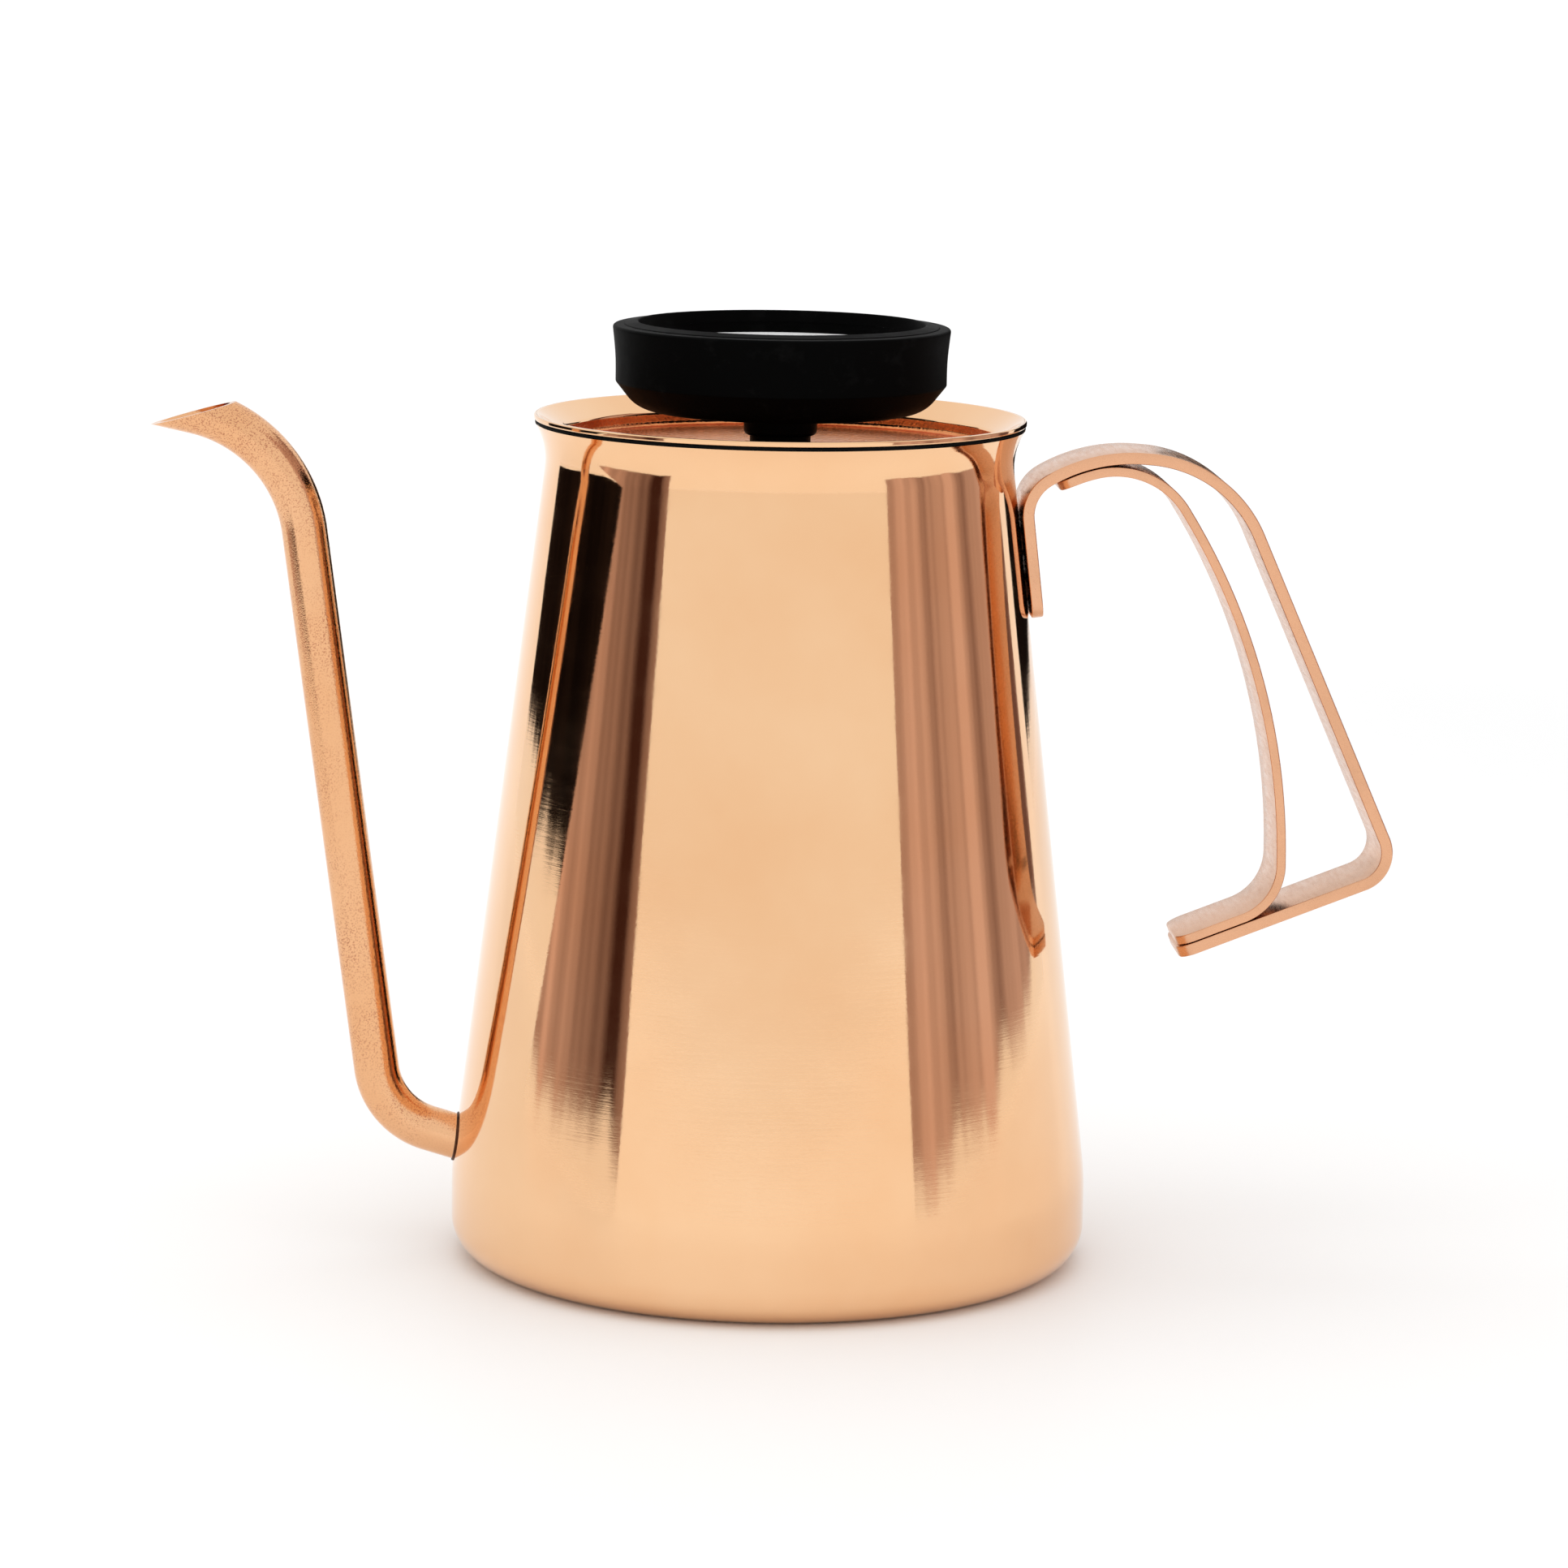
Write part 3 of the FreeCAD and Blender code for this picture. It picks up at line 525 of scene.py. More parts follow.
def turn_tree():
    """Turns the points of a closed outline in the XZ plane about Z."""
    tree, given = start_tree("turn", {"Steps": "Int", "Points": "Int"})
    line = maths(tree, "ADD", given["Points"], 1)
    grid = add_node(tree, "GeometryNodeMeshGrid", {
        "Vertices X": maths(tree, "ADD", given["Steps"], 1), "Vertices Y": line,
    })
    index = tree.nodes.new("GeometryNodeInputIndex").outputs[0]
    step = maths(tree, "FLOOR", maths(tree, "DIVIDE", index, line))
    corner = maths(tree, "MODULO", maths(tree, "MODULO", index, line), given["Points"])
    look_up = tree.nodes.new("GeometryNodeSampleIndex")
    look_up.data_type = "FLOAT_VECTOR"
    feed(tree, look_up, {
        "Geometry": given["Geometry"],
        "Value": tree.nodes.new("GeometryNodeInputPosition").outputs[0],
        "Index": corner,
    })
    outline = separated(tree, look_up.outputs["Value"])
    angle = maths(tree, "MULTIPLY", maths(tree, "DIVIDE", step, given["Steps"]), 2 * math.pi)
    spot = combined(tree, {
        "X": maths(tree, "MULTIPLY", maths(tree, "COSINE", angle), outline["X"]),
        "Y": maths(tree, "MULTIPLY", maths(tree, "SINE", angle), outline["X"]),
        "Z": outline["Z"],
    })
    merge = add_node(tree, "GeometryNodeMergeByDistance", {
        "Geometry": moved(tree, grid.outputs["Mesh"], spot), "Distance": MERGE_GAP,
    })
    return finish_tree(tree, merge.outputs[0], given)


def bend_tree():
    """Bends a straight blank that lies along X so that it follows a path."""
    tree, given = start_tree("bend", {"Path": "Object"})
    path = add_node(tree, "GeometryNodeObjectInfo", {"Object": given["Path"]})
    blank = separated(tree, tree.nodes.new("GeometryNodeInputPosition").outputs[0])
    sample = tree.nodes.new("GeometryNodeSampleCurve")
    sample.mode = "LENGTH"
    sample.use_all_curves = True
    feed(tree, sample, {"Curves": path.outputs["Geometry"], "Length": blank["X"]})
    upward = vector_maths(tree, "CROSS_PRODUCT", sample.outputs["Tangent"], (0.0, 1.0, 0.0))
    upward = vector_maths(tree, "NORMALIZE", upward, (0.0, 0.0, 0.0))
    lift = vector_maths(tree, "SCALE", upward, blank["Z"])
    spot = vector_maths(tree, "ADD", sample.outputs["Position"], lift)
    spot = vector_maths(tree, "ADD", spot, combined(tree, {"Y": blank["Y"]}))
    return finish_tree(tree, moved(tree, given["Geometry"], spot), given)


def dial_marks_tree():
    """Marks evenly round part of a circle. The first and every third one after it are long."""
    labels = ("Radius", "Height", "First Angle", "Sweep", "Length", "Width", "Thickness")
    tree, given = start_tree("dial_marks", {"Count": "Int", **{label: "Float" for label in labels}})
    line = add_node(tree, "GeometryNodeMeshLine", {"Count": given["Count"]})
    index = tree.nodes.new("GeometryNodeInputIndex").outputs[0]
    share = maths(tree, "DIVIDE", index, maths(tree, "SUBTRACT", given["Count"], 1))
    passed = maths(tree, "MULTIPLY", share, given["Sweep"])
    angle = maths(tree, "SUBTRACT", given["First Angle"], passed)
    spot = combined(tree, {
        "X": maths(tree, "MULTIPLY", maths(tree, "COSINE", angle), given["Radius"]),
        "Y": maths(tree, "MULTIPLY", maths(tree, "SINE", angle), given["Radius"]),
        "Z": given["Height"],
    })
    size = combined(tree, {"X": given["Length"], "Y": given["Width"], "Z": given["Thickness"]})
    mark = add_node(tree, "GeometryNodeMeshCube", {"Size": size})
    long_one = maths(tree, "LESS_THAN", maths(tree, "MODULO", index, LONG_MARK_EVERY), 0.5)
    longer = maths(tree, "MULTIPLY", long_one, LONG_MARK_EXTRA_LENGTH)
    wider = maths(tree, "MULTIPLY", long_one, LONG_MARK_EXTRA_WIDTH)
    stamp = add_node(tree, "GeometryNodeInstanceOnPoints", {
        "Points": moved(tree, line.outputs["Mesh"], spot),
        "Instance": mark.outputs["Mesh"],
        "Rotation": combined(tree, {"Z": angle}),
        "Scale": combined(tree, {
            "X": maths(tree, "ADD", longer, 1.0), "Y": maths(tree, "ADD", wider, 1.0), "Z": 1.0,
        }),
    })
    return finish_tree(tree, stamp.outputs[0], given)


def bead_tree():
    """A round bead that follows a closed line of points."""
    tree, given = start_tree("bead", {"Bead Radius": "Float", "Sides": "Int"})
    curve = add_node(tree, "GeometryNodeMeshToCurve", {"Mesh": given["Geometry"]})
    ring = add_node(tree, "GeometryNodeCurvePrimitiveCircle", {
        "Radius": given["Bead Radius"], "Resolution": given["Sides"],
    })
    sweep = add_node(tree, "GeometryNodeCurveToMesh", {
        "Curve": curve.outputs["Curve"], "Profile Curve": ring.outputs["Curve"],
    })
    return finish_tree(tree, sweep.outputs[0], given)


# ---------------------------------------------------------------- materials

def shader(name):
    """A material with one Principled shader, its tree and the shader node."""
    material = bpy.data.materials.new(name)
    material.use_nodes = True
    tree = material.node_tree
    return material, tree, tree.nodes["Principled BSDF"]


def object_point(tree, stretch=(1.0, 1.0, 1.0)):
    """The point on the object, stretched along its axes."""
    place = tree.nodes.new("ShaderNodeTexCoord").outputs["Object"]
    return add_node(tree, "ShaderNodeMapping", {"Vector": place, "Scale": stretch}).outputs["Vector"]


def noise(tree, point, scale, detail=3.0, rough=0.5):
    """Noise whose patches are about 1 / scale metres wide."""
    sockets = {"Scale": scale, "Detail": detail, "Roughness": rough, "Vector": point}
    return add_node(tree, "ShaderNodeTexNoise", sockets).outputs["Fac"]


def spread(tree, value, low, high, out_low=0.0, out_high=1.0):
    """Map a value from one range to another, held inside it."""
    sockets = {"Value": value, "From Min": low, "From Max": high, "To Min": out_low, "To Max": out_high}
    return add_node(tree, "ShaderNodeMapRange", sockets).outputs["Result"]


def blend_colour(tree, factor, first, second):
    """Mix two colours. Each is a socket or three numbers."""
    node = tree.nodes.new("ShaderNodeMix")
    node.data_type = "RGBA"
    ends = {"A": first, "B": second}
    for label, tint in ends.items():
        if not isinstance(tint, bpy.types.NodeSocket):
            ends[label] = (*tint, 1.0)
    return feed(tree, node, {"Factor": factor, **ends}).outputs["Result"]


def bump(tree, height, strength, distance, below=None):
    sockets = {"Strength": strength, "Distance": distance, "Height": height}
    if below is not None:
        sockets["Normal"] = below
    return add_node(tree, "ShaderNodeBump", sockets).outputs["Normal"]


def scaled(tint, factor):
    return tuple(value * factor for value in tint)


def polished_copper(name, light, deep):
    """Mirror copper with a faint bloom, fine scratches round it and a trace of orange peel."""
    material, tree, metal = shader(name)
    point = object_point(tree)
    cloud = noise(tree, point, scale=26.0, detail=4.0, rough=0.55)
    smear = noise(tree, object_point(tree, (1.0, 1.0, 3.0)), scale=60.0, detail=5.0, rough=0.6)
    scratches = noise(tree, object_point(tree, (1.0, 1.0, 26.0)), scale=90.0, detail=4.0, rough=0.65)
    soft = bump(tree, noise(tree, point, scale=55.0, detail=2.0), strength=0.06, distance=0.0006)
    brushed = bump(tree, scratches, strength=0.05, distance=0.00006, below=soft)
    fine = noise(tree, point, scale=1500.0, detail=2.0)
    feed(tree, metal, {
        "Base Color": blend_colour(tree, spread(tree, cloud, 0.35, 0.7), light, deep),
        "Metallic": 1.0,
        "Roughness": spread(tree, smear, 0.35, 0.75, 0.035, 0.085),
        "Normal": bump(tree, fine, strength=0.02, distance=0.00008, below=brushed),
    })
    return material


def speckled_copper(name, light, deep):
    """Copper sheet with a fine pebbled skin, as on the sunk pan."""
    material, tree, metal = shader(name)
    point = object_point(tree)
    cloud = noise(tree, point, scale=90.0, detail=4.0, rough=0.6)
    pebble = noise(tree, point, scale=1600.0, detail=2.0)
    feed(tree, metal, {
        "Base Color": blend_colour(tree, spread(tree, cloud, 0.3, 0.7), light, deep),
        "Metallic": 1.0,
        "Roughness": spread(tree, cloud, 0.3, 0.7, 0.10, 0.18),
        "Normal": bump(tree, pebble, strength=0.45, distance=0.00016),
    })
    return material


def speckled_tube(name, light, deep, dots):
    """Polished copper with a dense fine speckle that comes and goes along the tube."""
    material, tree, metal = shader(name)
    point = object_point(tree)
    cloud = noise(tree, point, scale=26.0, detail=4.0, rough=0.55)
    grains = noise(tree, point, scale=3600.0, detail=2.0, rough=0.6)
    patches = noise(tree, point, scale=70.0, detail=3.0, rough=0.6)
    tint = blend_colour(tree, spread(tree, cloud, 0.35, 0.7), light, deep)
    spots = spread(tree, grains, 0.52, 0.62)
    where = spread(tree, patches, 0.38, 0.60, 0.10, 0.85)
    feed(tree, metal, {
        "Base Color": blend_colour(tree, maths(tree, "MULTIPLY", spots, where), tint, dots),
        "Metallic": 1.0,
        "Roughness": spread(tree, grains, 0.5, 0.7, 0.06, 0.22),
        "Normal": bump(tree, grains, strength=0.30, distance=0.00008),
    })
    return material


def satin_copper(name, light, stain, stained):
    """Copper strap with a fine grain across its edge, and stains."""
    material, tree, metal = shader(name)
    grain = noise(tree, object_point(tree, (1.0, 0.15, 1.0)), scale=1400.0, detail=3.0, rough=0.6)
    cloud = noise(tree, object_point(tree), scale=55.0, detail=6.0, rough=0.65)
    feed(tree, metal, {
        "Base Color": blend_colour(tree, spread(tree, cloud, 0.5, 0.78, 0.0, stained), light, stain),
        "Metallic": 1.0,
        "Roughness": spread(tree, grain, 0.3, 0.7, 0.18, 0.32),
        "Normal": bump(tree, grain, strength=0.18, distance=0.00006),
    })
    return material


def matte_black(name, tint, rough, grain_size, strength):
    """Moulded black with a fine grain and a little dust."""
    material, tree, skin = shader(name)
    point = object_point(tree)
    dust = noise(tree, point, scale=180.0, detail=6.0, rough=0.7)
    pale = tuple(value + 0.004 for value in tint)
    grain = noise(tree, point, scale=grain_size, detail=2.0)
    feed(tree, skin, {
        "Base Color": blend_colour(tree, spread(tree, dust, 0.55, 0.8), tint, pale),
        "Roughness": spread(tree, dust, 0.3, 0.8, rough - 0.05, rough + 0.08),
        "Specular IOR Level": 0.02,
        "Normal": bump(tree, grain, strength=strength, distance=0.00004),
    })
    return material


def drawn_steel(name, tint):
    """Steel with fine rings of tool marks and a few stains."""
    material, tree, metal = shader(name)
    lines = noise(tree, object_point(tree, (1.0, 1.0, 14.0)), scale=300.0, detail=4.0, rough=0.6)
    stain = noise(tree, object_point(tree), scale=120.0, detail=4.0, rough=0.6)
    feed(tree, metal, {
        "Base Color": blend_colour(tree, spread(tree, stain, 0.4, 0.75), tint, scaled(tint, 0.8)),
        "Metallic": 1.0,
        "Roughness": spread(tree, lines, 0.3, 0.7, 0.2, 0.38),
        "Normal": bump(tree, lines, strength=0.2, distance=0.00005),
    })
    return material


def rough_braze(name, tint):
    """Dull filler metal, darkened by heat."""
    material, tree, metal = shader(name)
    crust = noise(tree, object_point(tree), scale=700.0, detail=5.0, rough=0.6)
    feed(tree, metal, {
        "Base Color": blend_colour(tree, spread(tree, crust, 0.35, 0.7), tint, scaled(tint, 0.45)),
        "Metallic": 0.9,
        "Roughness": spread(tree, crust, 0.3, 0.7, 0.3, 0.55),
        "Normal": bump(tree, crust, strength=0.4, distance=0.0001),
    })
    return material


def plain_moulding(name, tint, rough):
    """Pale moulding or print with a faint mottle."""
    material, tree, skin = shader(name)
    mottle = noise(tree, object_point(tree), scale=300.0, detail=4.0, rough=0.6)
    grain = noise(tree, object_point(tree), scale=2500.0, detail=2.0)
    feed(tree, skin, {
        "Base Color": blend_colour(tree, spread(tree, mottle, 0.4, 0.75), tint, scaled(tint, 0.88)),
        "Roughness": spread(tree, mottle, 0.3, 0.7, rough - 0.06, rough + 0.08),
        "Normal": bump(tree, grain, strength=0.08, distance=0.00003),
    })
    return material


def clear_glass(name):
    """Flat clear glass with the faintest smear."""
    material, tree, skin = shader(name)
    smear = noise(tree, object_point(tree), scale=80.0, detail=4.0, rough=0.6)
    feed(tree, skin, {
        "Base Color": (0.97, 0.985, 0.98, 1.0),
        "Transmission Weight": 1.0,
        "IOR": 1.5,
        "Roughness": spread(tree, smear, 0.4, 0.8, 0.0, 0.03),
        "Normal": bump(tree, smear, strength=0.02, distance=0.00002),
    })
    return material


# ---------------------------------------------------------------- body

def cone_radius(sizes, height):
    """Outside radius of the wall at a height, on the straight line from seam to neck."""
    share = (height - sizes.band_height) / (sizes.neck_height - sizes.band_height)
    return sizes.base_radius + share * (sizes.neck_radius - sizes.base_radius)


def cone_lean(sizes):
    return math.atan2(sizes.base_radius - sizes.neck_radius, sizes.neck_height - sizes.band_height)


def seam_points(sizes, inset):
    """The polished round over the seam: points from below it to above it, and the seam itself."""
    lean = cone_lean(sizes)
    reach = sizes.seam_blend
    curve = reach / math.tan(lean / 2)
    centre = Vector((sizes.base_radius - curve, sizes.band_height - reach))
    steps = 6
    points = []
    for i in range(steps + 1):
        angle = lean * i / steps
        reach = curve - inset
        points.append((centre.x + reach * math.cos(angle), centre.y + reach * math.sin(angle), 0))
    return points


class KETTLE_OT_body_shell(Operator):
    """Turn the conical wall with its flared mouth"""
    bl_idname = "kettle.body_shell"
    bl_label = "Body wall"

    def execute(self, context):
        sizes = context.scene.kettle_body
        wall = sizes.wall
        seam = seam_points(sizes, 0)
        inner_seam = seam_points(sizes, wall)
        corners = seam[3:] + [
            (sizes.neck_radius, sizes.neck_height, sizes.neck_curve),
            (sizes.mouth_radius, sizes.mouth_height, 0.25 * MM),
            (sizes.mouth_radius - wall, sizes.mouth_height, 0.25 * MM),
            (sizes.neck_radius - wall, sizes.neck_height, sizes.neck_curve),
        ] + inner_seam[:2:-1]
        turned_node("body_wall", corners, "copper_mirror", "kettle", "body_shell", 320)
        return {"FINISHED"}


class KETTLE_OT_base_pan(Operator):
    """Turn the pressed bottom with its rounded corner"""
    bl_idname = "kettle.base_pan"
    bl_label = "Bottom pan"

    def execute(self, context):
        sizes = context.scene.kettle_body
        wall = sizes.wall
        seam = seam_points(sizes, 0)
        inner_seam = seam_points(sizes, wall)
        corners = [
            (0, 0, 0),
            (sizes.base_radius, 0, sizes.base_corner),
        ] + seam[:4] + inner_seam[3::-1] + [
            (sizes.base_radius - wall, wall, sizes.base_corner - wall),
            (0, wall, 0),
        ]
        turned_node("bottom_pan", corners, "copper_mirror", "kettle", "base_pan", 320)
        return {"FINISHED"}


# ---------------------------------------------------------------- spout

def spout_walk(spout, body):
    """The middle line of the spout, from just inside the wall to past the beak."""
    inside = 2.6 * MM
    walk = Walk(-cone_radius(body, spout.foot_height), spout.foot_height, math.pi - spout.foot_rise)
    walk.here = walk.here - walk.along() * inside
    walk.spots = [(walk.here.copy(), walk.heading)]
    walk.straight(spout.foot_length + inside)
    walk.bend(spout.low_bend, -(math.pi / 2 - spout.leg_lean - spout.foot_rise))
    walk.straight(spout.leg_length)
    walk.bend(spout.high_bend, math.pi / 2 - spout.leg_lean - spout.beak_rise)
    walk.straight(spout.beak_length)
    return walk


def cut_lengths(walk, radius, sides, point, normal):
    """How far along the walk each lengthwise line of the tube runs before it meets the cut."""
    stations = run_lengths(walk)
    lengths = []
    for i in range(sides):
        angle = 2 * math.pi * i / sides
        depths = []
        for spot, heading in walk.spots:
            left = Vector((-math.sin(heading), 0, math.cos(heading)))
            side = left * radius * math.cos(angle) + Vector((0, radius * math.sin(angle), 0))
            depths.append((spot + side - point).dot(normal))
        last = max(k for k, depth in enumerate(depths[:-1]) if depth <= 0)
        share = depths[last] / (depths[last] - depths[last + 1])
        lengths.append(stations[last] + share * (stations[last + 1] - stations[last]))
    return lengths


def tube_rings(walk, radius, sides, point, normal):
    """Rings of a straight tube along X that ends where its bent lines meet the cut."""
    lengths = cut_lengths(walk, radius, sides, point, normal)
    whole = [value for value in run_lengths(walk) if value < min(lengths) - BEAK_MARGIN]
    rows = [[value] * sides for value in whole]
    for step in range(1, BEAK_STEPS + 1):
        share = step / BEAK_STEPS
        rows.append([whole[-1] + share * (value - whole[-1]) for value in lengths])
    rings = []
    for row in rows:
        ring = []
        for i, value in enumerate(row):
            angle = 2 * math.pi * i / sides
            ring.append((value, radius * math.sin(angle), radius * math.cos(angle)))
        rings.append(ring)
    return rings


class KETTLE_OT_spout(Operator):
    """Bend the spout tube and cut its beak"""
    bl_idname = "kettle.spout"
    bl_label = "Spout tube"

    def execute(self, context):
        spout = context.scene.kettle_spout
        body = context.scene.kettle_body
        walk = spout_walk(spout, body)
        point = Vector((-spout.cut_reach, 0, spout.cut_height))
        normal = Vector((-math.sin(spout.cut_slope), 0, math.cos(spout.cut_slope)))
        sides = 64
        outer = tube_rings(walk, spout.radius, sides, point, normal)
        inner = tube_rings(walk, spout.radius - spout.wall, sides, point, normal)
        blank = ring_mesh("spout_pipe", outer + inner[::-1], looped=True)
        tube = bent("spout_pipe", walk, blank, finish("copper_spout"))
        settle(tube, finish("copper_spout"), "kettle", "spout_tube")
        return {"FINISHED"}


class KETTLE_OT_spout_braze(Operator):
    """Lay the bead of filler round the foot of the spout"""
    bl_idname = "kettle.spout_braze"
    bl_label = "Spout braze"

    def execute(self, context):
        spout = context.scene.kettle_spout
        body = context.scene.kettle_body
        steps = 72
        along = Vector((-math.cos(spout.foot_rise), 0, math.sin(spout.foot_rise)))
        up = Vector((math.sin(spout.foot_rise), 0, math.cos(spout.foot_rise)))
        foot = Vector((-cone_radius(body, spout.foot_height), 0, spout.foot_height))
        mesh = bpy.data.meshes.new("spout_bead")
        points = []
        for i in range(steps):
            angle = 2 * math.pi * i / steps
            side = up * spout.radius * math.cos(angle) + Vector((0, spout.radius * math.sin(angle), 0))
            # halve the gap until the line along the tube meets the cone of the wall
            low, high = -6 * MM, 6 * MM
            for _ in range(30):
                middle = (low + high) / 2
                spot = foot + side + along * middle
                if math.hypot(spot.x, spot.y) < cone_radius(body, spot.z):
                    low = middle
                else:
                    high = middle
            points.append(foot + side * BEAD_SPREAD + along * (low + spout.bead_stand_off))
        mesh.from_pydata(points, [(i, (i + 1) % steps) for i in range(steps)], [])
        bead = new_piece("spout_bead", mesh)
        shape_with(bead, bead_tree(), {
            "Bead Radius": spout.bead_radius, "Sides": BEAD_SIDES, "Material": finish("braze"),
        })
        settle(bead, finish("braze"), "kettle", "spout_braze")
        return {"FINISHED"}


# ---------------------------------------------------------------- handle

def outer_walk(handle, body):
    """Middle line of the outer strap, from the foot of the tab to the free tail."""
    out = cone_radius(body, handle.tab_foot) + handle.tab_gap + handle.outer_thick / 2
    lean = cone_lean(body)
    walk = Walk(out, handle.tab_foot, math.pi / 2 + lean)
    walk.straight(handle.tab_length)
    walk.bend(handle.tab_bend, handle.arch_rise - math.pi / 2 - lean)
    centre = walk.bend(handle.arch_radius, -handle.arch_rise - handle.arch_fall)
    walk.straight(handle.crest_length)
    walk.bend(handle.shoulder_bend, -handle.shoulder_turn)
    walk.straight(handle.back_length)
    walk.bend(handle.tail_bend, -handle.tail_turn)
    walk.straight(handle.tail_length)
    return walk, centre


def inner_walk(handle, body):
    """Middle line of the inner strap, which hugs the arch, drops away and meets the tail again."""
    centre = outer_walk(handle, body)[1]
    radius = handle.arch_radius - (handle.outer_thick + handle.inner_thick) / 2 - handle.gap
    rise = handle.inner_rise
    walk = Walk(centre.x - radius * math.sin(rise), centre.z + radius * math.cos(rise), rise)
    walk.bend(radius, -handle.inner_arch_turn)
    walk.bend(handle.inner_crest_bend, -handle.inner_crest_turn)
    walk.bend(handle.inner_grip_bend, -handle.inner_grip_turn)
    walk.bend(handle.inner_tail_bend, -handle.inner_tail_turn)
    walk.straight(handle.inner_tail_length)
    return walk


def strip_blank(name, stations, handle, thick):
    """A flat strip along X with rounded end corners and broken edges."""
    edge = handle.edge
    total = stations[-1]
    corner = handle.corner
    corner_steps = 10
    edge_steps = 4
    quarter = math.pi / 2
    ends = [corner * (1 - math.cos(quarter * i / corner_steps)) for i in range(corner_steps + 1)]
    places = sorted(set(
        [round(value, 9) for value in ends]
        + [round(total - value, 9) for value in ends]
        + [round(value, 9) for value in stations if corner < value < total - corner]
    ))
    rings = []
    for place in places:
        inset = min(place, total - place)
        half = handle.width / 2
        if inset < corner:
            half -= corner - math.sqrt(max(corner ** 2 - (corner - inset) ** 2, 0))
        thin = thick / 2
        if inset < edge:
            thin -= (edge - inset)
        ring = []
        for turn, (side_y, side_z) in enumerate(((1, 1), (-1, 1), (-1, -1), (1, -1))):
            for step in range(edge_steps + 1):
                angle = quarter * (turn + step / edge_steps)
                ring.append((
                    place,
                    side_y * (half - edge) + edge * math.cos(angle),
                    side_z * (thin - edge) + edge * math.sin(angle),
                ))
        rings.append(ring)
    return ring_mesh(name, rings, looped=False)


def make_strap(name, walk, handle, thick):
    """Bend a flat strip along a walk."""
    return bent(name, walk, strip_blank(name, run_lengths(walk), handle, thick), finish("strap_edge"))


class KETTLE_OT_handle(Operator):
    """Bend the two straps of the handle"""
    bl_idname = "kettle.handle"
    bl_label = "Handle straps"

    def execute(self, context):
        handle = context.scene.kettle_handle
        body = context.scene.kettle_body
        outer = make_strap("outer_strap", outer_walk(handle, body)[0], handle, handle.outer_thick)
        inner = make_strap("inner_strap", inner_walk(handle, body), handle, handle.inner_thick)
        for strap, node in ((outer, "handle_outer_strap"), (inner, "handle_inner_strap")):
            settle(strap, finish("strap_edge"), "kettle", node)
            # Sideways cut edges keep the lighter strap copper; the broad faces take the darker copy as
            # painted shade.
            strap.data.materials.append(finish("strap_shaded_face"))
            for face in strap.data.polygons:
                face.material_index = 0 if abs(face.normal.y) > EDGE_FACING else 1
        for node in ("handle_body_welds", "arch_welds", "tail_welds"):
            dress(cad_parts[node], finish("braze"))
        return {"FINISHED"}


# ---------------------------------------------------------------- lid

class KETTLE_OT_lid(Operator):
    """Press the lid pan with its flange, and the seal under it"""
    bl_idname = "kettle.lid"
    bl_label = "Lid and seal"

    def execute(self, context):
        lid = context.scene.kettle_lid
        knob = context.scene.kettle_knob
        body = context.scene.kettle_body
        thick = lid.thick
        hole = knob.shank_radius + lid.seat_gap
        rim = lid.radius - lid.rim
        corners = [
            (lid.radius, lid.height, 0.3 * MM),
            (rim, lid.height, 0.4 * MM),
            (lid.pan_radius, lid.lip_height, 0.9 * MM),
            (lid.pan_radius, lid.floor_height, 0.9 * MM),
            (hole, lid.floor_height, 0.1 * MM),
            (hole, lid.floor_height - thick, 0.1 * MM),
            (lid.pan_radius + thick, lid.floor_height - thick, 1.4 * MM),
            (lid.pan_radius + thick, lid.lip_height - 0.2 * thick, 0.5 * MM),
            (rim - 0.4 * thick, lid.height - thick, 0.2 * MM),
            (lid.radius, lid.height - thick, 0.3 * MM),
        ]
        pan = turned_node("lid_pressing", corners, "copper_mirror", "lid", "lid_pan")
        # The pan floor takes the darker pan copper, painted shade under the knob.
        pan.data.materials.append(finish("copper_speckled"))
        for face in pan.data.polygons:
            inside = math.hypot(face.center.x, face.center.y) < lid.pan_radius + 0.2 * MM
            above = face.center.z > lid.floor_height - 0.1 * MM
            if inside and above and face.center.z < lid.lip_height - 0.2 * MM:
                face.material_index = 1
        gap = lid.seat_gap
        top = lid.height - thick - gap
        seat = body.mouth_height + gap
        edge = body.mouth_radius
        inner = edge - lid.seal_width
        seal_corners = [
            (edge, seat, 0.15 * MM),
            (edge, top, 0.15 * MM),
            (edge - lid.seal_top_width, top, 0.1 * MM),
            (inner, top - lid.seal_top_drop, 0.1 * MM),
            (inner, seat - lid.seal_hang, 0.1 * MM),
            (edge - lid.seal_seat_width, seat, 0.1 * MM),
        ]
        turned_node("lid_seal_ring", seal_corners, "seal", "seal", "lid_seal")
        return {"FINISHED"}


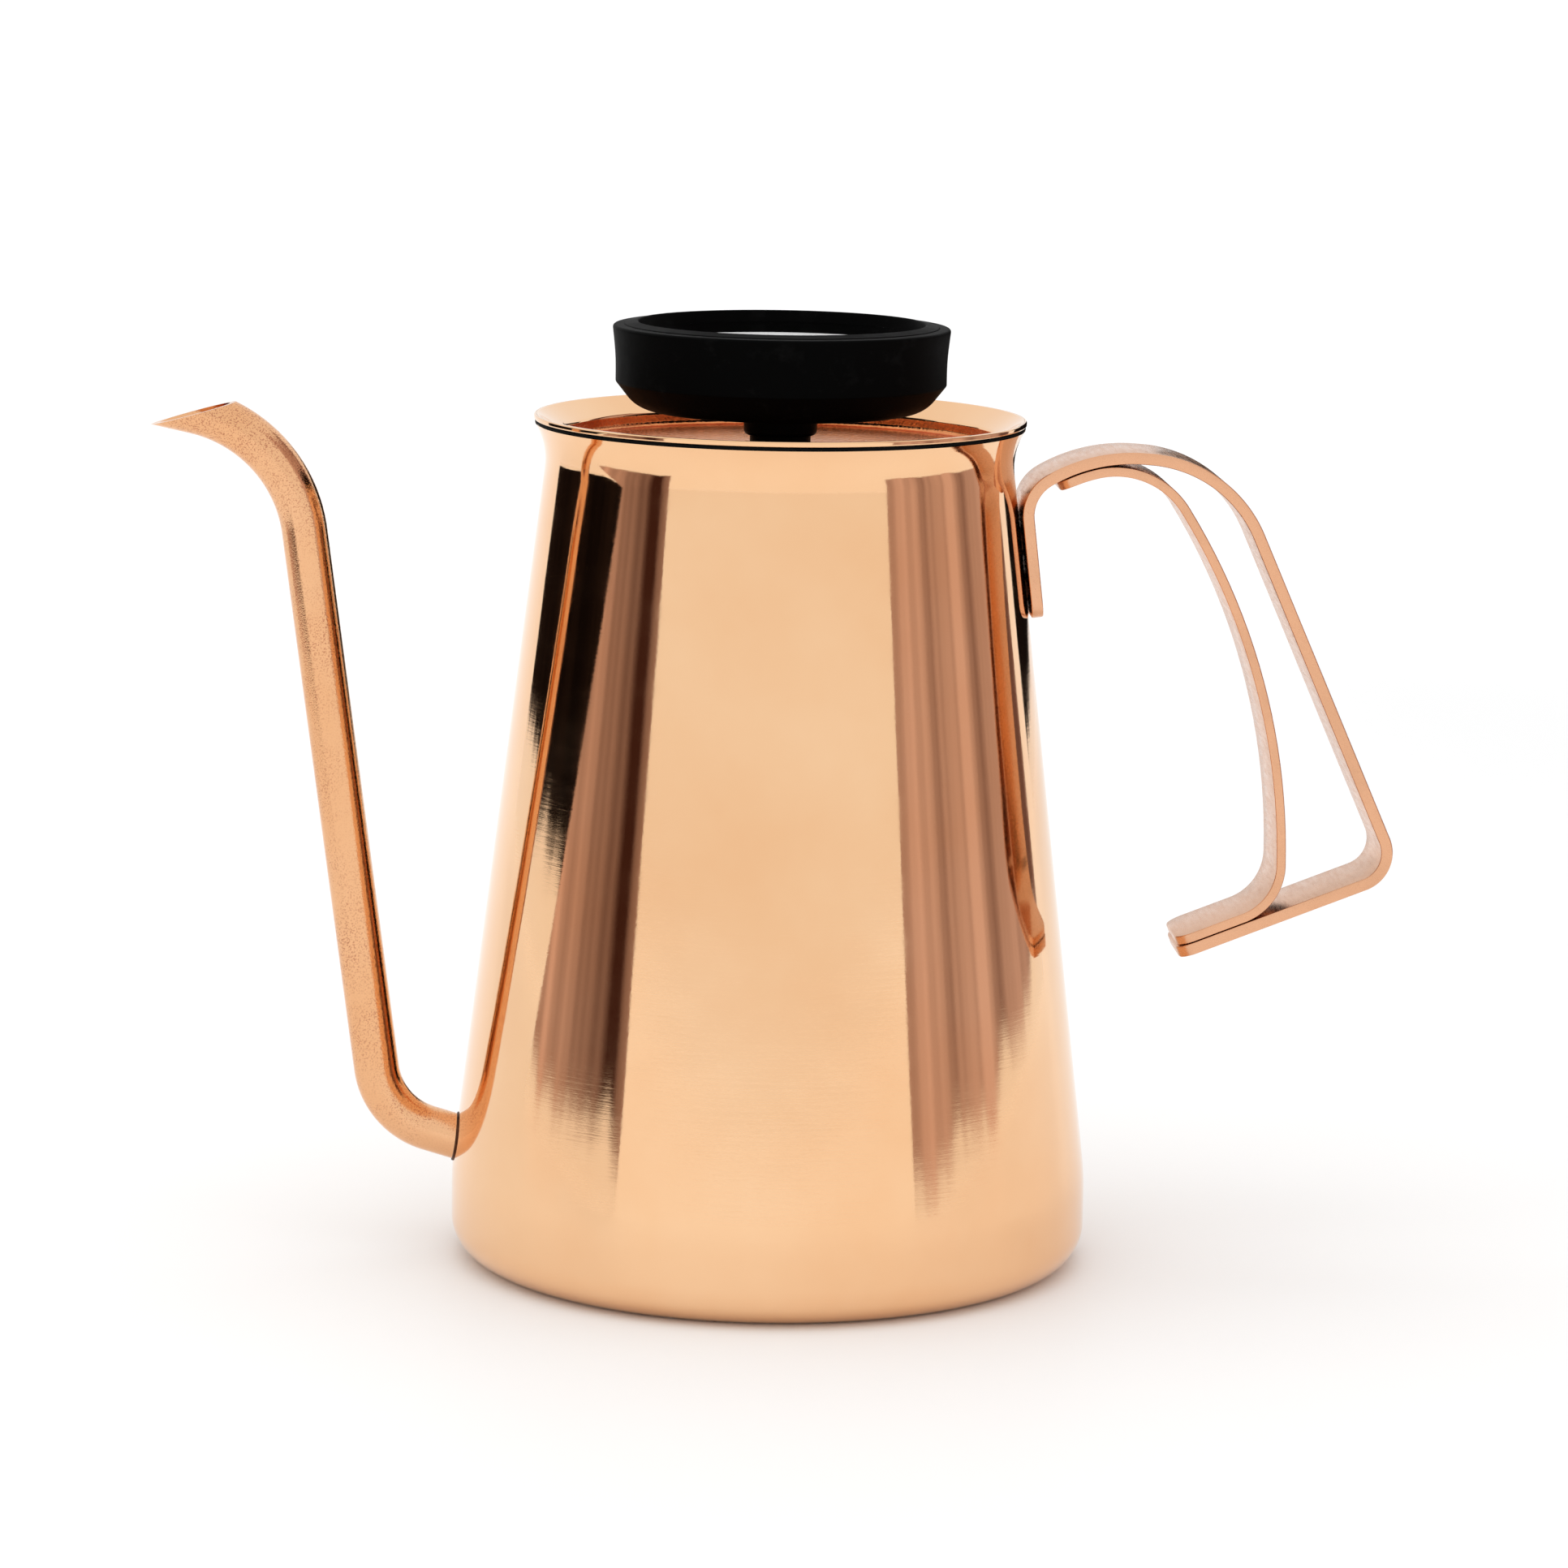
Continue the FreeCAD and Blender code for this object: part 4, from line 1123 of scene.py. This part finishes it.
class KETTLE_OT_collar(Operator):
    """Turn the collar, washer, nut and stem that hold the knob to the lid"""
    bl_idname = "kettle.collar"
    bl_label = "Collar, nut and stem"

    def execute(self, context):
        lid = context.scene.kettle_lid
        knob = context.scene.kettle_knob
        stem_low, stem_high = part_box("stem_tube")
        bore = stem_high[0]
        collar_corners = [
            (bore, knob.shank_foot, 0.1 * MM),
            (knob.shank_radius, knob.shank_foot, 0.3 * MM),
            (knob.shank_radius, lid.floor_height, 0),
            (knob.neck_radius, lid.floor_height, 0),
            (knob.neck_radius, knob.collar_foot, 0),
            (knob.collar_radius, knob.collar_foot, 0.8 * MM),
            (knob.collar_radius, knob.bottom_height, 0),
            (bore, knob.bottom_height, 0.1 * MM),
        ]
        turned_node("lid_foot", collar_corners, "black_gloss", "lid", "lid_collar", 128)
        washer_low, washer_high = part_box("collar_washer")
        washer_corners = [
            (knob.shank_radius + lid.seat_gap, washer_low[2], 0.1 * MM),
            (washer_high[0], washer_low[2], 0.2 * MM),
            (washer_high[0], washer_high[2], 0.2 * MM),
            (knob.shank_radius + lid.seat_gap, washer_high[2], 0.1 * MM),
        ]
        turned_node("nylon_washer", washer_corners, "nylon", "lid", "collar_washer", 128)
        self.make_nut(knob)
        stem_corners = [
            (0, stem_low[2], 0),
            (bore, stem_low[2], 1.2 * MM),
            (bore, stem_high[2], 0.05 * MM),
            (bore - 0.3 * MM, stem_high[2], 0.05 * MM),
            (bore - 0.3 * MM, stem_low[2] + 0.3 * MM, 1.0 * MM),
            (0, stem_low[2] + 0.3 * MM, 0),
        ]
        turned_node("dial_stem", stem_corners, "steel", "lid", "stem_tube", 96)
        for node in ("bimetal_coil", "pointer_spindle"):
            dress(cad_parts[node], finish("steel"))
        return {"FINISHED"}

    def make_nut(self, knob):
        """A hexagon nut whose corners are chamfered by a cone above and below."""
        low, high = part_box("collar_nut")
        flats = high[1] - low[1]
        levels = 10
        steps = 96
        side = math.pi / 3
        heights = [low[2] + (high[2] - low[2]) * i / levels for i in range(levels + 1)]
        outside = []
        inside = []
        for height in heights:
            inset = min(height - low[2], high[2] - height)
            cone = flats / 2 * 1.02 + inset * 1.7
            outer_ring = []
            bore_ring = []
            for i in range(steps):
                angle = 2 * math.pi * i / steps
                turn = (angle + side / 2) % side - side / 2
                reach = min(flats / 2 / math.cos(turn), cone)
                across, up = math.cos(angle + side / 2), math.sin(angle + side / 2)
                outer_ring.append((reach * across, reach * up, height))
                bore_ring.append((knob.shank_radius * across, knob.shank_radius * up, height))
            outside.append(outer_ring)
            inside.append(bore_ring)
        nut = new_piece("hex_nut", ring_mesh("hex_nut", outside + inside[::-1], looped=True))
        settle(nut, finish("steel"), "lid", "collar_nut")


# ---------------------------------------------------------------- knob and dial

class KETTLE_OT_knob(Operator):
    """Turn the knob, its bezel and the glass"""
    bl_idname = "kettle.knob"
    bl_label = "Knob, bezel and glass"

    def execute(self, context):
        knob = context.scene.kettle_knob
        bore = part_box("stem_tube")[1][0]
        seat = knob.top_radius - knob.wall
        ledge = knob.glass_height - knob.glass_thick
        inside = knob.glass_radius - knob.ledge
        floor = knob.bottom_height + knob.wall
        corners = [
            (bore, knob.bottom_height, 0),
            (knob.bottom_radius, knob.bottom_height, knob.bottom_round),
            (knob.waist_radius, knob.waist_height, 0.5 * MM),
            (knob.waist_radius, knob.hollow_height, 40 * MM),
            (knob.top_radius, knob.top_height, 0.5 * MM),
            (seat, knob.top_height + 0.1 * MM, 0.1 * MM),
            (seat, knob.glass_height, 0),
            (knob.glass_radius, knob.glass_height, 0),
            (knob.glass_radius, ledge, 0),
            (inside, ledge, 0),
            (inside, knob.waist_height, 0.5 * MM),
            (knob.bottom_radius - 2 * knob.wall, floor, 0.5 * MM),
            (bore, floor, 0),
        ]
        turned_node("knob_cup", corners, "black", "lid", "knob_housing")
        bezel_corners = [
            (knob.bezel_foot, knob.glass_height, 0),
            (seat, knob.glass_height, 0),
            (seat, knob.bezel_edge, 0.2 * MM),
            (knob.bezel_radius, knob.bezel_height, 0.3 * MM),
        ]
        turned_node("knob_ring", bezel_corners, "black", "lid", "knob_bezel")
        glass_corners = [
            (0, ledge, 0),
            (knob.glass_radius, ledge, 0.1 * MM),
            (knob.glass_radius, knob.glass_height, 0.1 * MM),
            (0, knob.glass_height, 0),
        ]
        turned_node("dial_window", glass_corners, "glass", "lid", "knob_glass")
        return {"FINISHED"}


def dial_spot(knob, share, reach, height):
    """A point on the dial, a share of the way round its scale."""
    angle = knob.cold_angle - share * knob.scale_sweep
    return Vector((reach * math.cos(angle), reach * math.sin(angle), height))


class KETTLE_OT_dial(Operator):
    """Make the dial plate, its marks, numbers and brewing band, and the pointer"""
    bl_idname = "kettle.dial"
    bl_label = "Dial and pointer"

    def execute(self, context):
        knob = context.scene.kettle_knob
        low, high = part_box("dial_plate")
        top = high[2]
        plate_corners = [
            (1.0 * MM, low[2], 0),
            (high[0], low[2], 0),
            (high[0], top, 0.1 * MM),
            (1.0 * MM, top, 0.05 * MM),
        ]
        turned_node("dial_face", plate_corners, "dial", "lid", "dial_plate")
        ink = finish("ink")
        seed = bpy.data.meshes.new("dial_marks")
        seed.from_pydata([(0, 0, 0)], [], [])
        marks = new_piece("dial_marks", seed)
        shape_with(marks, dial_marks_tree(), {
            "Count": knob.dial_marks, "Radius": knob.mark_radius, "Height": top + PRINT_LIFT,
            "First Angle": knob.cold_angle, "Sweep": knob.scale_sweep, "Length": knob.mark_length,
            "Width": knob.mark_width, "Thickness": knob.print_height, "Material": ink,
        })
        settle(marks, ink, "lid")
        self.make_band(knob, top)
        self.make_numbers(knob, top, ink)
        self.make_pointer(knob)
        return {"FINISHED"}

    def make_band(self, knob, top):
        """The raised print of the brewing band, near the hot end of the scale."""
        steps = 24
        inside, outside, raised = knob.band_inside, knob.band_outside, knob.print_height
        section = ((inside, 0.0), (outside, 0.0), (outside, raised), (inside, raised))
        rings = []
        for i in range(steps + 1):
            share = BAND_START + (BAND_END - BAND_START) * i / steps
            rings.append([dial_spot(knob, share, reach, top + height) for reach, height in section])
        band = new_piece("dial_band", ring_mesh("dial_band", rings, looped=False))
        settle(band, finish("warm_ink"), "lid")

    def make_numbers(self, knob, top, ink):
        """Plain numbers evenly along the scale."""
        shape = bmesh.new()
        last = len(DIAL_NUMBERS) - 1
        for count, label in enumerate(DIAL_NUMBERS):
            text = bpy.data.curves.new("number", "FONT")
            text.body = label
            text.size = knob.number_size
            text.align_x = "CENTER"
            text.align_y = "CENTER"
            text.extrude = knob.print_height / 2
            writer = bpy.data.objects.new("number", text)
            bpy.context.scene.collection.objects.link(writer)
            bpy.context.view_layer.update()
            graph = bpy.context.evaluated_depsgraph_get()
            mesh = bpy.data.meshes.new_from_object(writer.evaluated_get(graph))
            spot = dial_spot(knob, count / last, knob.number_radius, top + PRINT_LIFT)
            mesh.transform(Matrix.Translation(spot))
            shape.from_mesh(mesh)
            bpy.data.objects.remove(writer)
        mesh = bpy.data.meshes.new("dial_numbers")
        shape.to_mesh(mesh)
        shape.free()
        numbers = new_piece("dial_numbers", mesh)
        settle(numbers, ink, "lid")

    def make_pointer(self, knob):
        """A tapered needle with a round hub, cold at rest."""
        low = knob.pointer_height
        high = low + knob.pointer_thick
        tail, tip = -knob.pointer_tail, knob.pointer_length
        waist, point = -2.4 * MM, tip - 2.0 * MM
        tail_half, waist_half, point_half = 0.9 * MM, 0.7 * MM, 0.35 * MM
        outline = [
            (tail, -tail_half), (tail, tail_half), (waist, waist_half), (point, point_half),
            (tip, 0.0), (point, -point_half), (waist, -waist_half),
        ]
        turn = Matrix.Rotation(knob.cold_angle, 4, "Z")
        rings = []
        for height in (low, high):
            rings.append([turn @ Vector((across, side, height)) for across, side in outline])
        needle = ring_mesh("dial_needle", rings, looped=False)
        hub = turned("dial_hub", [
            (0, low - 0.15 * MM, 0),
            (knob.pointer_hub, low - 0.15 * MM, 0.1 * MM),
            (knob.pointer_hub, high + 0.2 * MM, 0.3 * MM),
            (0, high + 0.3 * MM, 0),
        ], finish("pointer"), 64)
        shape = bmesh.new()
        shape.from_mesh(needle)
        shape.from_mesh(hub.data)
        bpy.data.objects.remove(hub)
        mesh = bpy.data.meshes.new("dial_needle")
        shape.to_mesh(mesh)
        shape.free()
        pointer = new_piece("dial_needle", mesh)
        settle(pointer, finish("pointer"), "needle", "pointer")


# ---------------------------------------------------------------- finishes

_finishes = {}


def finish(name):
    """A finish made by the finishes operator."""
    return _finishes[name]


class KETTLE_OT_finishes(Operator):
    """Mix the copper, black, steel, glass and print finishes"""
    bl_idname = "kettle.finishes"
    bl_label = "Finishes"

    def execute(self, context):
        hues = context.scene.kettle_colours
        _finishes.update({
            "copper_mirror": polished_copper("copper_mirror", hues.copper, hues.copper_deep),
            "copper_spout": speckled_tube("copper_spout", hues.spout, hues.spout_deep, hues.speckle),
            "copper_speckled": speckled_copper("copper_speckled", hues.pan, hues.pan_deep),
            "strap_edge": satin_copper("strap_edge", hues.strap_edge, hues.strap_stain, 0.25),
            # The strap face finish is the strap copper darkened as painted shade, with more of the stain.
            "strap_shaded_face": satin_copper("strap_shaded_face", hues.strap_shaded_face, hues.strap_stain, 0.5),
            "braze": rough_braze("brown_braze", hues.braze),
            "black": matte_black("knob_black", hues.black, 0.55, 1800.0, 0.25),
            "black_gloss": matte_black("collar_black", hues.black, 0.3, 1200.0, 0.1),
            "seal": matte_black("seal_black", hues.seal, 0.6, 900.0, 0.1),
            "dial": plain_moulding("dial_black", hues.dial, 0.5),
            "pointer": plain_moulding("pointer_white", hues.ink, 0.4),
            "ink": plain_moulding("dial_ink", hues.ink, 0.5),
            "warm_ink": plain_moulding("dial_warm_ink", hues.warm_ink, 0.5),
            "steel": drawn_steel("stem_steel", hues.steel),
            "nylon": plain_moulding("nylon_white", hues.nylon, 0.5),
            "glass": clear_glass("dial_glass"),
        })
        return {"FINISHED"}


# ---------------------------------------------------------------- stage

def plain_floor(name, tint):
    """Pale floor paper with a barely seen mottle."""
    material, tree, skin = shader(name)
    mottle = noise(tree, object_point(tree), scale=6.0)
    feed(tree, skin, {
        "Base Color": blend_colour(tree, mottle, tint, scaled(tint, 0.995)),
        "Roughness": 0.55,
        "Specular IOR Level": 0.25,
    })
    return material


def card_paint(name, dark, pale, streak_size, foot, ragged):
    """Glowing paint of a reflector card: upright streaks between two tints, ragged at its foot."""
    material = bpy.data.materials.new(name)
    material.use_nodes = True
    tree = material.node_tree
    tree.nodes.clear()
    streaks = noise(tree, object_point(tree, (1.0, 1.0, 0.03)), scale=streak_size, detail=3.0, rough=0.55)
    tint = blend_colour(tree, spread(tree, streaks, 0.36, 0.62), dark, pale)
    drop = spread(tree, streaks, 0.3, 0.7, -ragged, ragged)
    height = maths(tree, "ADD", separated(tree, object_point(tree))["Z"], drop)
    fade = 0.25 * ragged + 6 * MM
    clear = spread(tree, height, foot, foot + fade, 1.0, 0.0)
    glow = add_node(tree, "ShaderNodeEmission", {"Color": blend_colour(tree, clear, tint, WHITE)})
    add_node(tree, "ShaderNodeOutputMaterial", {"Surface": glow.outputs[0]})
    return material


def reflector(name, left, right, distance, top, material):
    """A curved upright card that shows only in gloss. Its sides are lists of (height, azimuth)."""
    points = []
    steps = 32
    heights = [height for height, _ in left] + [top]
    lefts = [azimuth for _, azimuth in left] + [left[-1][1]]
    rights = [azimuth for _, azimuth in right] + [right[-1][1]]
    for height, first, last in zip(heights, lefts, rights):
        for i in range(steps + 1):
            angle = math.radians(first + (last - first) * i / steps)
            points.append((distance * math.sin(angle), -distance * math.cos(angle), height))
    faces = []
    for row in range(len(heights) - 1):
        low = row * (steps + 1)
        high = low + steps + 1
        faces += [(low + i, low + i + 1, high + i + 1, high + i) for i in range(steps)]
    mesh = bpy.data.meshes.new(name)
    mesh.from_pydata(points, [], faces)
    card = bpy.data.objects.new(name, mesh)
    bpy.context.scene.collection.objects.link(card)
    mesh.materials.append(material)
    card.visible_camera = False
    card.visible_diffuse = False
    card.visible_shadow = False
    card.visible_transmission = False
    return card


class KETTLE_OT_stage(Operator):
    """Set up the floor, the white room, the cards, the lights and the camera"""
    bl_idname = "kettle.stage"
    bl_label = "Floor, light and camera"

    def execute(self, context):
        stage = context.scene.kettle_stage
        self.make_floor(stage)
        self.make_room(context.scene, stage)
        self.make_cards(stage)
        self.make_light(context.scene, stage)
        self.make_camera(context.scene, stage)
        return {"FINISHED"}

    def make_floor(self, stage):
        half = 30.0
        corners = [(-half, -half, 0), (half, -half, 0), (half, half, 0), (-half, half, 0)]
        mesh = bpy.data.meshes.new("floor")
        mesh.from_pydata(corners, [], [(0, 1, 2, 3)])
        floor = bpy.data.objects.new("floor", mesh)
        bpy.context.scene.collection.objects.link(floor)
        floor.location.z = -0.1 * MM
        mesh.materials.append(plain_floor("floor_paper", stage.floor))

    def make_room(self, scene, stage):
        room = bpy.data.worlds.new("white_room")
        room.use_nodes = True
        back = room.node_tree.nodes["Background"]
        back.inputs["Color"].default_value = (*WHITE, 1.0)
        back.inputs["Strength"].default_value = stage.sky
        scene.world = room
        scene.view_settings.view_transform = "Standard"

    def make_cards(self, stage):
        """Each card has an azimuth, in degrees, at the foot and at the head of its left and right side."""
        soot = ((0.004, 0.003, 0.003), (0.012, 0.008, 0.007))
        black = card_paint("card_black", *soot, 12.0, 0.034, 0.007)
        far_black = card_paint("card_far_black", *soot, 12.0, 0.015, 0.004)
        brown = card_paint("card_brown", (0.05, 0.02, 0.015), (0.70, 0.50, 0.46), 6.0, 0.006, 0.014)
        grey = card_paint("card_grey", (0.16, 0.09, 0.08), (0.72, 0.54, 0.52), 7.0, 0.006, 0.014)
        low, high = 0.001, 0.15
        far, near = stage.card_distance, stage.near_card_distance
        for name, left, right, distance, top, paint in (
            ("card_left_black", (-138, -138), (-102, -82), far, stage.card_height, black),
            ("card_left_brown", (-102, -82), (-56, -56), near, stage.card_height, brown),
            ("card_right_grey", (47.5, 47.5), (125, 125), near, stage.tall_card_height, grey),
            ("card_right_black", (134, 134), (166, 166), far, stage.card_height, far_black),
        ):
            sides = [((low, foot), (high, head)) for foot, head in (left, right)]
            reflector(name, *sides, distance, top, paint)

    def make_light(self, scene, stage):
        lamp = bpy.data.lights.new("top_light", "SUN")
        lamp.energy = stage.sun
        lamp.angle = stage.sun_spread
        thing = bpy.data.objects.new("top_light", lamp)
        thing.rotation_euler = (stage.sun_tilt, stage.sun_lean, 0)
        scene.collection.objects.link(thing)
        thing.visible_glossy = False

    def make_camera(self, scene, stage):
        yaw, pitch, roll = stage.camera_yaw, stage.camera_pitch, stage.camera_roll
        aim = Vector((math.sin(yaw) * math.cos(pitch), math.cos(yaw) * math.cos(pitch), -math.sin(pitch)))
        right = Vector((math.cos(yaw), -math.sin(yaw), 0))
        up = right.cross(aim)
        lean_right = right * math.cos(roll) + up * math.sin(roll)
        lean_up = up * math.cos(roll) - right * math.sin(roll)
        eye = Vector((0, -stage.camera_distance, stage.camera_height))
        pose = Matrix((lean_right, lean_up, -aim)).transposed().to_4x4()
        pose.translation = eye
        lens = bpy.data.cameras.new("camera")
        lens.lens = stage.lens
        lens.sensor_width = 36.0
        lens.clip_start = 0.01
        camera = bpy.data.objects.new("camera", lens)
        scene.collection.objects.link(camera)
        camera.matrix_world = Matrix.Rotation(-stage.camera_turn, 4, "Z") @ pose
        scene.camera = camera


# ---------------------------------------------------------------- panel and run

STEPS = (
    KETTLE_OT_finishes,
    KETTLE_OT_body_shell,
    KETTLE_OT_base_pan,
    KETTLE_OT_spout,
    KETTLE_OT_spout_braze,
    KETTLE_OT_handle,
    KETTLE_OT_lid,
    KETTLE_OT_collar,
    KETTLE_OT_knob,
    KETTLE_OT_dial,
    KETTLE_OT_stage,
)

GROUPS = {
    "kettle_body": KettleBodySizes,
    "kettle_spout": KettleSpoutSizes,
    "kettle_handle": KettleHandleSizes,
    "kettle_lid": KettleLidSizes,
    "kettle_knob": KettleKnobSizes,
    "kettle_colours": KettleColours,
    "kettle_stage": KettleStage,
}


class KETTLE_PT_panel(Panel):
    """Sizes, colours and the steps that build the kettle"""
    bl_label = "Gooseneck kettle"
    bl_idname = "KETTLE_PT_panel"
    bl_space_type = "VIEW_3D"
    bl_region_type = "UI"
    bl_category = "Kettle"

    def draw(self, context):
        for step in STEPS:
            self.layout.operator(step.bl_idname)
        for group, kind in GROUPS.items():
            box = self.layout.box()
            box.label(text=group.replace("_", " "))
            for field in kind.__annotations__:
                box.prop(getattr(context.scene, group), field)


def register():
    for kind in GROUPS.values():
        bpy.utils.register_class(kind)
    for group, kind in GROUPS.items():
        setattr(bpy.types.Scene, group, PointerProperty(type=kind))
    for step in STEPS:
        bpy.utils.register_class(step)
    bpy.utils.register_class(KETTLE_PT_panel)


def unregister():
    bpy.utils.unregister_class(KETTLE_PT_panel)
    for step in reversed(STEPS):
        bpy.utils.unregister_class(step)
    for group, kind in GROUPS.items():
        delattr(bpy.types.Scene, group)
        bpy.utils.unregister_class(kind)


def main():
    register()
    for step in STEPS:
        area, name = step.bl_idname.split(".")
        getattr(getattr(bpy.ops, area), name)()


if __name__ == "__main__":
    main()
